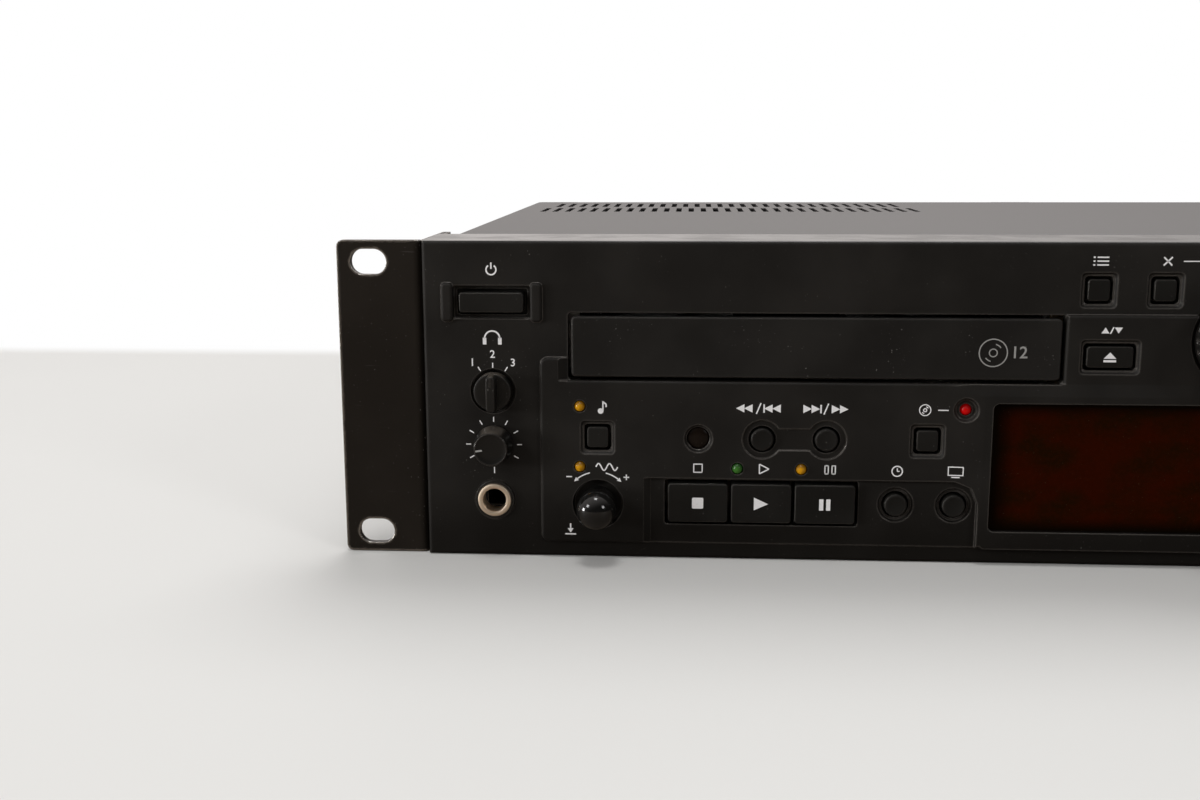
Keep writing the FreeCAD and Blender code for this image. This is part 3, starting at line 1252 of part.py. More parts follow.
def jog_dial():
    """The big dial: a drum with a grooved rim and a finger dimple."""
    back = Y_BLOCK + DIAL_RECESS_DEPTH - PUSH_TRAVEL - RUNNING_GAP
    front = -DIAL_REACH
    profile = (
        (0, back),
        (DIAL_RADIUS, back),
        (DIAL_RADIUS - 0.4, front + 1.6),
        (DIAL_RADIUS - 1.8, front),
        (0, front),
    )
    dial = turned(profile, vec(0, 0, DIAL_Z), vec(0, 1, 0))
    cuts = [dial_socket(0, DIAL_Z, front + 5.0, back + 1)]
    cuts.append(Part.makeSphere(9.0, vec(0, front - 8.2, DIAL_Z + 6.4)))
    for i in range(DIAL_GRIPS):
        a = 2 * math.pi * i / DIAL_GRIPS
        reach = DIAL_RADIUS + 0.9 - DIAL_GRIP_DEPTH
        x, z = reach * math.cos(a), DIAL_Z + reach * math.sin(a)
        tool = slab(x - 0.9, x + 0.9, front - 1, back - 2.0, z - 0.9, z + 0.9)
        tool.rotate(vec(x, 0, z), vec(0, 1, 0), -math.degrees(a))
        cuts.append(tool)
    return dial.cut(cuts)


def dial_shaft():
    """The big dial's sliding spindle."""
    back = Y_BLOCK + DIAL_RECESS_DEPTH - PUSH_TRAVEL - RUNNING_GAP
    return push_shaft(0, DIAL_Z, -DIAL_REACH + 5.0 + RUNNING_GAP, back + RUNNING_GAP)


# CD drive ---------------------------------------------------------------------------
def involute(radius, base):
    """How far an involute turns from its root at a radius."""
    if radius <= base:
        return 0.0
    pressure = math.acos(base / radius)
    return math.tan(pressure) - pressure


def gear_outline(cx, cy, teeth, module, start):
    """The points of a spur gear. The middle of one tooth stands at the start angle."""
    pitch = module * teeth / 2
    base = pitch * math.cos(math.radians(PRESSURE_DEG))
    root, tip = pitch - 1.25 * module, pitch + module
    half = (math.pi * module / 2 - BACKLASH / 2) / (2 * pitch) + involute(pitch, base)
    radii = [max(base, root) + (tip - max(base, root)) * i / 3 for i in range(4)]
    points = []
    for tooth in range(teeth):
        middle = start + 2 * math.pi * tooth / teeth
        flank = [(r, half - involute(r, base)) for r in radii]
        if root < base:
            flank.insert(0, (root, half))
        rising = [(r, middle - a) for r, a in flank]
        falling = [(r, middle + a) for r, a in reversed(flank)]
        points += [(cx + r * math.cos(a), cy + r * math.sin(a)) for r, a in rising + falling]
    return points


def loading_gear():
    """The gear that drives the tray's rack. A gap between two teeth faces the rack's tooth."""
    x, y = TRAY_X + GEAR_X, GEAR_Y
    start = math.pi / GEAR_TEETH
    bottom = GEAR_TOP - GEAR_HEIGHT
    teeth = prism_z(gear_outline(x, y, GEAR_TEETH, GEAR_MODULE, start), bottom, GEAR_TOP)
    hub = rod_z(x, y, 4.5, bottom - GEAR_HUB, bottom)
    bore = rod_z(x, y, MOTOR_SHAFT_RADIUS + SPINDLE_FIT, bottom - GEAR_HUB - 1, GEAR_TOP + 1)
    return fused([teeth, hub]).cut(bore)


def tray_rack():
    """The toothed bar under the tray. One tooth's middle is level with the gear's axis."""
    pitch = math.pi * GEAR_MODULE
    line = TRAY_X + GEAR_X + GEAR_PITCH_RADIUS
    slope = math.tan(math.radians(PRESSURE_DEG))
    half = (pitch / 2 - BACKLASH / 2) / 2
    tip_x, root_x = line - GEAR_MODULE, line + 1.25 * GEAR_MODULE
    tip_half, root_half = half - GEAR_MODULE * slope, half + 1.25 * GEAR_MODULE * slope
    first = math.ceil((RACK_START_Y + root_half - GEAR_Y) / pitch)
    last = math.floor((TRAY_LENGTH - 1.0 - root_half - GEAR_Y) / pitch)
    points = []
    for i in range(first, last + 1):
        y = GEAR_Y + i * pitch
        points += [(root_x, y - root_half), (tip_x, y - tip_half)]
        points += [(tip_x, y + tip_half), (root_x, y + root_half)]
    back = root_x + RACK_BACK
    ends = [(back, points[-1][1]), (back, points[0][1])]
    return prism_z(points + ends, TRAY_UNDERSIDE - RACK_DEPTH, TRAY_UNDERSIDE)


def cd_tray():
    """The tray: two disc wells, the slot for pickup and turntable, rails and rack."""
    half = TRAY_HALF_WIDTH
    front = TRAY_FRONT_THICKNESS - TRAY_FRONT_PROUD
    body = slab(TRAY_X - half, TRAY_X + half, front, TRAY_LENGTH, TRAY_UNDERSIDE, TRAY_TOP)
    pieces = [body, tray_rack()]
    for sign in (-1, 1):
        low, high = sorted((TRAY_X + sign * half, TRAY_X + sign * (half + RAIL_REACH)))
        rail = slab(
            low, high, front + 6, TRAY_LENGTH, RAIL_Z - RAIL_HEIGHT / 2, RAIL_Z + RAIL_HEIGHT / 2
        )
        pieces.append(rail)
    tray = fused(pieces)
    well = rod_z(TRAY_X, WELL_Y, WELL_RADIUS, WELL_FLOOR, TRAY_TOP + 1)
    small = rod_z(TRAY_X, WELL_Y, SMALL_WELL_RADIUS, WELL_FLOOR - SMALL_WELL_DEPTH, TRAY_TOP + 1)
    slot_z = (TRAY_UNDERSIDE - 1, TRAY_TOP + 1)
    slot_end = rod_z(TRAY_X, WELL_Y, TRAY_SLOT_HALF, *slot_z)
    slot = slab(
        TRAY_X - TRAY_SLOT_HALF, TRAY_X + TRAY_SLOT_HALF, WELL_Y, WELL_Y + WELL_RADIUS + 3, *slot_z
    )
    fingers = []
    for sign in (-1, 1):
        fingers.append(rod_z(TRAY_X + sign * half, WELL_Y, 13.0, WELL_FLOOR - 0.6, TRAY_TOP + 1))
    tray = tray.cut([well, small, slot_end, slot, *fingers])
    return tray.removeSplitter()


def cd_tray_front():
    """The tray's front moulding, with the ribs that clip it to the tray."""
    y0 = -TRAY_FRONT_PROUD
    y1 = y0 + TRAY_FRONT_THICKNESS
    front = plate(TRAY_X, TRAY_FRONT_Z, TRAY_FRONT_WIDTH, TRAY_FRONT_HEIGHT, 1.2, y0, y1)
    front = front.makeFillet(0.5, edges_at_y(front, y0))
    pieces = [front]
    for sign in (-1, 1):
        x = TRAY_X + sign * 40
        pieces.append(slab(x - 6, x + 6, y1, y1 + 5.0, TRAY_TOP, TRAY_TOP + 4))
    return fused(pieces)


def cd_drive_frame():
    """The drive's frame: side walls with rails, front beam, rear wall and clamp bridge."""
    x = TRAY_X
    y0, y1 = FRAME_FRONT_Y, FRAME_REAR_Y
    pieces = []
    low_lip = RAIL_Z - RAIL_HEIGHT / 2 - RUNNING_GAP
    high_lip = RAIL_Z + RAIL_HEIGHT / 2 + RUNNING_GAP
    lip_x = TRAY_HALF_WIDTH + 0.4
    for sign in (-1, 1):
        low, high = sorted((x + sign * FRAME_INSIDE, x + sign * FRAME_HALF))
        pieces.append(slab(low, high, y0, y1, SHEET, FRAME_TOP))
        low, high = sorted((x + sign * lip_x, x + sign * FRAME_HALF))
        pieces.append(slab(low, high, y0, y1 - 6, low_lip - LIP_HEIGHT, low_lip))
        pieces.append(slab(low, high, y0, y1 - 6, high_lip, high_lip + 1.2))
        pieces.append(slab(low, high, y0, y1, SHEET, SHEET + 1.5))
    beam = slab(
        x - FRAME_HALF, x + FRAME_HALF, y0, y0 + BEAM_DEPTH, BEAM_TOP - BEAM_HEIGHT, BEAM_TOP
    )
    pieces.append(beam)
    ledge_top = TRAVERSE_TOP - TRAVERSE_SHEET - RUNNING_GAP
    ledge_end = TRAVERSE_FRONT_Y + 6
    pieces.append(slab(x - 20, x + 20, y0 + BEAM_DEPTH - 2, ledge_end, ledge_top - 2, ledge_top))
    drop = (ledge_top - 2, BEAM_TOP - BEAM_HEIGHT)
    pieces.append(slab(x - 20, x + 20, y0 + BEAM_DEPTH - 2, y0 + BEAM_DEPTH, *drop))
    pieces.append(slab(x - FRAME_HALF, x + FRAME_HALF, y1 - 4, y1, SHEET, FRAME_TOP))
    bridge_y = (WELL_Y - BRIDGE_HALF_DEPTH, WELL_Y + BRIDGE_HALF_DEPTH)
    bridge_z = (FRAME_TOP - BRIDGE_THICKNESS, FRAME_TOP)
    pieces.append(slab(x - FRAME_HALF, x + FRAME_HALF, *bridge_y, *bridge_z))
    frame = fused(pieces)
    cuts = [slab(x - FRAME_HALF - 1, x + FRAME_HALF + 1, y0 - 1, STEP_Y, 0, STEP_TOP)]
    cuts.append(rod_z(x, WELL_Y, PUCK_RADIUS + 0.5, FRAME_TOP - 3, FRAME_TOP + 1))
    cuts.append(rod_x(PIVOT_Y, PIVOT_Z, PIVOT_RADIUS + SPINDLE_FIT, x - FRAME_HALF - 1, x + FRAME_HALF + 1))
    gear_x = x + GEAR_X
    cuts.append(rod_z(gear_x, GEAR_Y, 4.0, BEAM_TOP - BEAM_HEIGHT - 1, BEAM_TOP + 1))
    return frame.cut(cuts)


def loading_motor():
    """The tray's gear motor, hung under the front beam, with its shaft up to the gear."""
    x, y = TRAY_X + GEAR_X, GEAR_Y
    top = BEAM_TOP - BEAM_HEIGHT
    can = rod_z(x, y, MOTOR_RADIUS, top - MOTOR_HEIGHT, top)
    hub_end = GEAR_TOP - GEAR_HEIGHT - GEAR_HUB
    boss = rod_z(x, y, 3.9, top, hub_end - RUNNING_GAP)
    shaft = rod_z(x, y, MOTOR_SHAFT_RADIUS, BEAM_TOP, GEAR_TOP)
    return fused([can, boss, shaft])


def cd_traverse():
    """The tilting plate that carries the turntable motor and the pickup's rods."""
    x = TRAY_X
    z0, z1 = TRAVERSE_TOP - TRAVERSE_SHEET, TRAVERSE_TOP
    pieces = [slab(x - TRAVERSE_HALF, x + TRAVERSE_HALF, TRAVERSE_FRONT_Y, PIVOT_Y, z0, z1)]
    bar = TRAVERSE_BAR / 2
    reach = FRAME_INSIDE - 1.0
    pieces.append(slab(x - reach, x + reach, PIVOT_Y - bar, PIVOT_Y + bar, PIVOT_Z - 3, PIVOT_Z + 3))
    pieces.append(rod_x(PIVOT_Y, PIVOT_Z, PIVOT_RADIUS, x - FRAME_HALF, x + FRAME_HALF))
    pieces.append(rod_z(x, WELL_Y, SPIN_MOTOR_RADIUS, z0 - SPIN_MOTOR_HEIGHT, z1 + 1.5))
    seat = TURNTABLE_SEAT + CONE_HEIGHT
    pieces.append(rod_z(x, WELL_Y, MOTOR_SHAFT_RADIUS, z1, seat))
    for sign in (-1, 1):
        lug_x = x + sign * ROD_X
        half = ROD_LUG / 2
        for y0, y1 in (
            (SLED_WINDOW_FRONT - 3, SLED_WINDOW_FRONT),
            (SLED_WINDOW_REAR, SLED_WINDOW_REAR + 3),
        ):
            pieces.append(slab(lug_x - half, lug_x + half, y0, y1, z1, ROD_Z + half))
        pieces.append(rod_y(lug_x, ROD_Z, ROD_RADIUS, SLED_WINDOW_FRONT - 1, SLED_WINDOW_REAR + 1))
    window = slab(
        x - SLED_WINDOW_HALF, x + SLED_WINDOW_HALF, SLED_WINDOW_FRONT, SLED_WINDOW_REAR, z0 - 1, z1
    )
    plate_part = pieces[0].cut(window)
    return fused([plate_part, *pieces[1:]])


def cd_turntable():
    """The turntable: a rimmed disc with the centring cone."""
    seat = TURNTABLE_SEAT
    base = seat - TURNTABLE_THICKNESS
    profile = (
        (MOTOR_SHAFT_RADIUS + SPINDLE_FIT, base - 1.5),
        (4.0, base - 1.5),
        (5.0, base),
        (TURNTABLE_RADIUS - 1.0, base + 1.2),
        (TURNTABLE_RADIUS, seat - 1.2),
        (TURNTABLE_RADIUS, seat),
        (CONE_RADIUS, seat - 0.3),
        (CONE_RADIUS - 0.9, seat + CONE_HEIGHT),
        (MOTOR_SHAFT_RADIUS + SPINDLE_FIT, seat + CONE_HEIGHT),
    )
    return turned(profile, vec(TRAY_X, WELL_Y, 0), vec(0, 0, 1))


def cd_pickup_sled():
    """The pickup: a body on two rods, with the lens on its spring plate."""
    x = TRAY_X
    y0, y1 = SLED_FRONT_Y, SLED_FRONT_Y + SLED_LENGTH
    bottom = ROD_Z - 2.6
    pieces = [slab(x - SLED_HALF, x + SLED_HALF, y0, y1, bottom, ROD_Z + 4.0)]
    for sign in (-1, 1):
        rod_at = x + sign * ROD_X
        low, high = sorted((x + sign * (SLED_HALF - 1), rod_at + sign * 2.8))
        pieces.append(slab(low, high, y0 + 1, y1 - 1, bottom, ROD_Z + 2.6))
    pieces.append(slab(x - 8, x + 8, LENS_Y - 6, LENS_Y + 8, ROD_Z + 3.5, LENS_TOP - 1.4))
    pieces.append(rod_z(x, LENS_Y, LENS_RADIUS, LENS_TOP - 2.0, LENS_TOP))
    sled = fused(pieces)
    fit = ROD_RADIUS + SPINDLE_FIT
    cuts = [rod_y(x + sign * ROD_X, ROD_Z, fit, y0 - 1, y1 + 1) for sign in (-1, 1)]
    return sled.cut(cuts)


def cd_clamp_puck():
    """The puck that clamps the disc from above, hung in the bridge by its flange."""
    seat = FRAME_TOP + RUNNING_GAP
    profile = (
        (0, seat + PUCK_FLANGE),
        (PUCK_FLANGE_RADIUS, seat + PUCK_FLANGE),
        (PUCK_FLANGE_RADIUS, seat),
        (PUCK_RADIUS, seat),
        (PUCK_RADIUS, PUCK_BOTTOM),
        (CONE_RADIUS + 1.0, PUCK_BOTTOM),
        (CONE_RADIUS, PUCK_BOTTOM + 2.5),
        (0, PUCK_BOTTOM + 2.5),
    )
    return turned(profile, vec(TRAY_X, WELL_Y, 0), vec(0, 0, 1))


# MiniDisc drive ---------------------------------------------------------------------
def door_axis():
    """The y and z of the slot door's hinge, near the slot's top edge."""
    y = Y_MD_PANEL + MD_DOOR_SETBACK
    z = MD_SLOT_Z + MD_SLOT_HEIGHT / 2 - RUNNING_GAP - MD_DOOR_THICKNESS / 2
    return y, z


def md_slot_door():
    """The flap in the minidisc slot, on a pin at each end of its top edge."""
    y, z = door_axis()
    half = MD_SLOT_WIDTH / 2 - RUNNING_GAP
    bottom = MD_SLOT_Z - MD_SLOT_HEIGHT / 2 + RUNNING_GAP
    thick = MD_DOOR_THICKNESS / 2
    leaf = slab(MD_X - half, MD_X + half, y - thick, y + thick, bottom, z)
    roll = rod_x(y, z, thick, MD_X - half, MD_X + half)
    reach = MD_SLOT_WIDTH / 2 + 0.9
    pin = rod_x(y, z, MD_PIN_RADIUS, MD_X - reach, MD_X + reach)
    return fused([leaf, roll, pin])


def md_drive_frame():
    """The minidisc drive: a housing on four legs, open at the front for the cartridge."""
    x, half = MD_X, MD_FRAME_HALF
    y0 = MD_FRAME_FRONT
    y1 = y0 + MD_FRAME_DEPTH
    pieces = [slab(x - half, x + half, y0, y1, MD_FRAME_BOTTOM, MD_FRAME_TOP)]
    for sx in (-1, 1):
        for y, foot in ((y0, STEP_TOP), (y1 - MD_LEG, SHEET)):
            low, high = sorted((x + sx * half, x + sx * (half - MD_LEG)))
            pieces.append(slab(low, high, y, y + MD_LEG, foot, MD_FRAME_BOTTOM))
    bay_z = (MD_SLOT_Z - MD_BAY_HEIGHT / 2, MD_SLOT_Z + MD_BAY_HEIGHT / 2)
    bay = slab(x - MD_BAY_HALF, x + MD_BAY_HALF, y0 - 1, y0 + MD_BAY_DEPTH, *bay_z)
    head = slab(x - 12, x + 12, y0 + 20, y0 + MD_BAY_DEPTH, bay_z[1], MD_FRAME_TOP + 1)
    return fused(pieces).cut([bay, head])


# Boards, mains and rear connectors --------------------------------------------------
def main_board():
    """The main board with its larger parts."""
    z0 = MAIN_BOARD_Z
    z1 = z0 + BOARD_THICKNESS
    pieces = [slab(MAIN_BOARD_LEFT, MAIN_BOARD_RIGHT, MAIN_BOARD_FRONT, MAIN_BOARD_REAR, z0, z1)]
    x, y = MAIN_BOARD_LEFT + CAPACITOR_INSET[0], MAIN_BOARD_REAR - CAPACITOR_INSET[1]
    for i in range(CAPACITORS):
        pieces.append(rod_z(x + i * CAPACITOR_PITCH, y, CAPACITOR_RADIUS, z1, z1 + CAPACITOR_HEIGHT))
    for left, front, width, depth, height in BOARD_PARTS:
        x, y = MAIN_BOARD_LEFT + left, MAIN_BOARD_FRONT + front
        pieces.append(slab(x, x + width, y, y + depth, z1, z1 + height))
    return fused(pieces)


def power_transformer():
    """The mains transformer: laminated core, coil and screwed feet."""
    x, y = TRANSFORMER_POS
    w, d, h = TRANSFORMER_CORE
    cw, cd, ch = TRANSFORMER_COIL
    core = slab(x - w / 2, x + w / 2, y - d / 2, y + d / 2, SHEET, SHEET + h)
    middle = SHEET + h / 2
    coil = slab(x - cw / 2, x + cw / 2, y - cd / 2, y + cd / 2, middle - ch / 2, middle + ch / 2)
    coil = coil.makeChamfer(4.0, [e for e in coil.Edges if abs(e.Vertexes[0].Z - e.Vertexes[1].Z) > 1])
    foot = slab(x - TRANSFORMER_FOOT / 2, x + TRANSFORMER_FOOT / 2, y - 12, y + 12, SHEET, SHEET + 2.0)
    return fused([core, coil, foot])


def rca_spots():
    """The analogue jacks, in pairs one above the other."""
    return [(x, RCA_LOWER_Z + i * RCA_PITCH) for x in RCA_COLUMNS for i in range(2)]


def rca_barrel(x, z):
    """One phono socket: an outer sleeve round an insulated centre socket."""
    end = BODY_DEPTH + RCA_REACH
    root = BODY_DEPTH - SHEET - 1
    sleeve = rod_y(x, z, RCA_BARREL_RADIUS, root, end)
    well = rod_y(x, z, RCA_BORE_RADIUS, BODY_DEPTH + 1.6, end + 1)
    centre = rod_y(x, z, RCA_PIN_RADIUS, BODY_DEPTH + 1.0, end - 1.0)
    socket = rod_y(x, z, RCA_SOCKET_RADIUS, BODY_DEPTH + 2.0, end + 1)
    return sleeve.cut(well).fuse(centre).cut(socket)


def rca_jacks():
    """The three pairs of analogue jacks, each pair on one moulded body."""
    made = []
    body_front = REAR_INSIDE_Y - RCA_BODY_DEPTH
    for x in RCA_COLUMNS:
        z = RCA_LOWER_Z + RCA_PITCH / 2
        half_body = RCA_BODY_WIDTH / 2
        heights = (z - RCA_PITCH, z + RCA_PITCH)
        body = slab(x - half_body, x + half_body, body_front, REAR_INSIDE_Y, *heights)
        barrels = [rca_barrel(x, RCA_LOWER_Z + i * RCA_PITCH) for i in range(2)]
        made.append(fused([body, *barrels]))
    return Part.makeCompound(made)


def digital_jacks():
    """The coaxial sockets and, below each, an optical socket with its shutter."""
    made = []
    body_front = REAR_INSIDE_Y - RCA_BODY_DEPTH
    for x in COAX_COLUMNS:
        half = OPTICAL_SIZE / 2
        half_body = RCA_BODY_WIDTH / 2
        heights = (OPTICAL_Z - half_body, COAX_Z + half_body)
        body = slab(x - half_body, x + half_body, body_front, REAR_INSIDE_Y, *heights)
        optical = plate(x, OPTICAL_Z, 2 * half, 2 * half, 1.0, REAR_INSIDE_Y, BODY_DEPTH + OPTICAL_REACH)
        port_size = half + OPTICAL_RIM
        port_y = (BODY_DEPTH + OPTICAL_REACH / 2, BODY_DEPTH + OPTICAL_REACH + 1)
        port = plate(x, OPTICAL_Z, port_size, port_size, 0.8, *port_y)
        made.append(fused([body, optical.cut(port), rca_barrel(x, COAX_Z)]))
    return Part.makeCompound(made)


def power_inlet():
    """The mains inlet with its three pins."""
    x, z = INLET_POS
    rear = BODY_DEPTH + 2.0
    flange = plate(x, z, *INLET_FLANGE, 3.0, BODY_DEPTH, rear)
    body = plate(x, z, *INLET_SIZE, 2.0, BODY_DEPTH - INLET_DEPTH, BODY_DEPTH)
    cavity = plate(x, z, *INLET_CAVITY, 2.0, rear - INLET_CAVITY_DEPTH, rear + 1)
    shell = fused([flange, body]).cut(cavity)
    pins = []
    for dx, dz in ((-7.0, -2.0), (0.0, 2.0), (7.0, -2.0)):
        pins.append(
            slab(x + dx - 1, x + dx + 1, rear - INLET_CAVITY_DEPTH - 1, rear - 1, z + dz - 2, z + dz + 2)
        )
    return fused([shell, *pins])


# Build ------------------------------------------------------------------------------
def main():
    """Builds every piece and writes its file."""
    os.makedirs("parts", exist_ok=True)

    export("front_bezel", front_bezel())
    export("bottom_chassis", bottom_chassis())
    export("top_cover", top_cover())
    export("rear_panel", rear_panel())
    export("rack_ear_left", rack_ear(-1))
    export("rack_ear_right", rack_ear(1))
    export("screws", screws())
    export("display_window", display_window())
    export("ir_window", ir_window())
    export("phones_jack", phones_jack())
    export("keyboard_socket", keyboard_socket())
    export("front_board", front_board())
    for lamp_colour in ("amber", "green", "red"):
        export("led_" + lamp_colour, leds(lamp_colour))

    export("power_button", power_button())
    for name, x, z, face in square_spots():
        export(name, square_button(x, z, face, (SQUARE_CAP, SQUARE_CAP), SQUARE_PROUD))
    for name, x, z in eject_spots():
        export(name, square_button(x, z, Y_BLOCK, EJECT_CAP, SQUARE_PROUD))
    for name, x, z, face in round_spots():
        export(name, round_button(x, z, face))
    for name, x in key_spots():
        export(name, transport_key(x))
    export("phones_selector_knob", selector_knob())
    export("phones_level_knob", level_knob(-COLUMN_X, LEVEL_Z, LEVEL_POINTER_DEG))
    export("input_left_knob", level_knob(COLUMN_X, INPUT_KNOB_Z[0], 0.0))
    export("input_right_knob", level_knob(COLUMN_X, INPUT_KNOB_Z[1], 0.0))
    export("pitch_knob", pitch_knob())
    export("pitch_shaft", pitch_shaft())
    export("jog_dial", jog_dial())
    export("dial_shaft", dial_shaft())

    export("cd_tray", cd_tray())
    export("cd_tray_front", cd_tray_front())
    export("cd_drive_frame", cd_drive_frame())
    export("cd_loading_motor", loading_motor())
    export("cd_loading_gear", loading_gear())
    export("cd_traverse", cd_traverse())
    export("cd_turntable", cd_turntable())
    export("cd_pickup_sled", cd_pickup_sled())
    export("cd_clamp_puck", cd_clamp_puck())
    export("md_slot_door", md_slot_door())
    export("md_drive_frame", md_drive_frame())
    export("main_board", main_board())
    export("power_transformer", power_transformer())
    export("rca_jacks", rca_jacks())
    export("digital_jacks", digital_jacks())
    export("power_inlet", power_inlet())


if __name__ == "__main__":
    main()
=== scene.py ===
import logging
import math
from dataclasses import dataclass
from enum import Enum
from typing import Iterable, Optional, Sequence, Union

import bmesh
import bpy
from mathutils import Matrix, Vector
from mathutils.bvhtree import BVHTree


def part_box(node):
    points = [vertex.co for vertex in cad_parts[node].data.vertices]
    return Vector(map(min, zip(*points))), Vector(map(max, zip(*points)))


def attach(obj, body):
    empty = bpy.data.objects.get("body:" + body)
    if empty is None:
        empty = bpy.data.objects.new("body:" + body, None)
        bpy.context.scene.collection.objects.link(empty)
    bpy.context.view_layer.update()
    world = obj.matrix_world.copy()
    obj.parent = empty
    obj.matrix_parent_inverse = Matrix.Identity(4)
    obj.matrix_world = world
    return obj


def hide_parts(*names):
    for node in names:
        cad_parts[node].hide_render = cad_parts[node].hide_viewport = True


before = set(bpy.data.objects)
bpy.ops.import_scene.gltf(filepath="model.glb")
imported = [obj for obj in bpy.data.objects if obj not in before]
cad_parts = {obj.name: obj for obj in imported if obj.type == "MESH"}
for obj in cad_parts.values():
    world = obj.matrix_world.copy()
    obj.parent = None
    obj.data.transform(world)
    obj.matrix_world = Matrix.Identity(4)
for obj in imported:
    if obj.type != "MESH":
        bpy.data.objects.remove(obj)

LOG = logging.getLogger("rack_deck")
MM = 0.001

Point = tuple[float, float]
Place = tuple[float, float, float]
Colour = tuple[float, float, float]
Feed = Union["Value", float, Sequence[float]]

WHITE: Colour = (1.0, 1.0, 1.0)
# Where the Mix node keeps its two colours and its result
MIX_A = 6
MIX_B = 7
MIX_RESULT = 2
# How far a seed of 1 moves a noise along X, Y and Z
SEED_WAY: Place = (1.0, 1.7, 0.6)


def toned(colour: Colour, gain: float, lift: float = 0.0) -> Colour:
    """A colour times a gain and plus a lift, with 1 as the most."""
    return tuple(min(1.0, part * gain + lift) for part in colour)


# Shader sums --------------------------------------------------------------------------
class Value:
    """A shader socket that takes part in sums, each of which adds a Math node."""

    def __init__(self, net: "Net", socket: bpy.types.NodeSocket) -> None:
        """Keeps the net that the socket belongs to."""
        self.net = net
        self.socket = socket

    def maths(self, operation: str, *others: Feed) -> "Value":
        """Adds one Math node with this value as its first operand.

        Args:
            operation: The Math node's operation.
            others: The other operands, in order.

        Returns:
            The node's result.
        """
        feeds = dict(enumerate((self, *others)))
        return self.net.value("ShaderNodeMath", {"operation": operation}, feeds)

    def swapped(self, operation: str, other: float) -> "Value":
        """Adds one Math node with a plain number as its first operand."""
        return self.net.value("ShaderNodeMath", {"operation": operation}, {0: other, 1: self})

    def __add__(self, other: Feed) -> "Value":
        """This value plus another."""
        return self.maths("ADD", other)

    def __radd__(self, other: float) -> "Value":
        """A number plus this value."""
        return self.swapped("ADD", other)

    def __sub__(self, other: Feed) -> "Value":
        """This value less another."""
        return self.maths("SUBTRACT", other)

    def __rsub__(self, other: float) -> "Value":
        """A number less this value."""
        return self.swapped("SUBTRACT", other)

    def __mul__(self, other: Feed) -> "Value":
        """This value times another."""
        return self.maths("MULTIPLY", other)

    def __rmul__(self, other: float) -> "Value":
        """A number times this value."""
        return self.swapped("MULTIPLY", other)

    def __truediv__(self, other: Feed) -> "Value":
        """This value divided by another."""
        return self.maths("DIVIDE", other)

    def either(self, other: Feed) -> "Value":
        """The larger of two values."""
        return self.maths("MAXIMUM", other)

    def fade(self, low: float, high: float) -> "Value":
        """A smooth step that goes from 0 at low to 1 at high.

        Args:
            low: The value that gives 0.
            high: The value that gives 1, which may be the smaller number.

        Returns:
            The stepped value.
        """
        settings = {"interpolation_type": "SMOOTHSTEP"}
        return self.net.value("ShaderNodeMapRange", settings, {0: self, 1: low, 2: high})


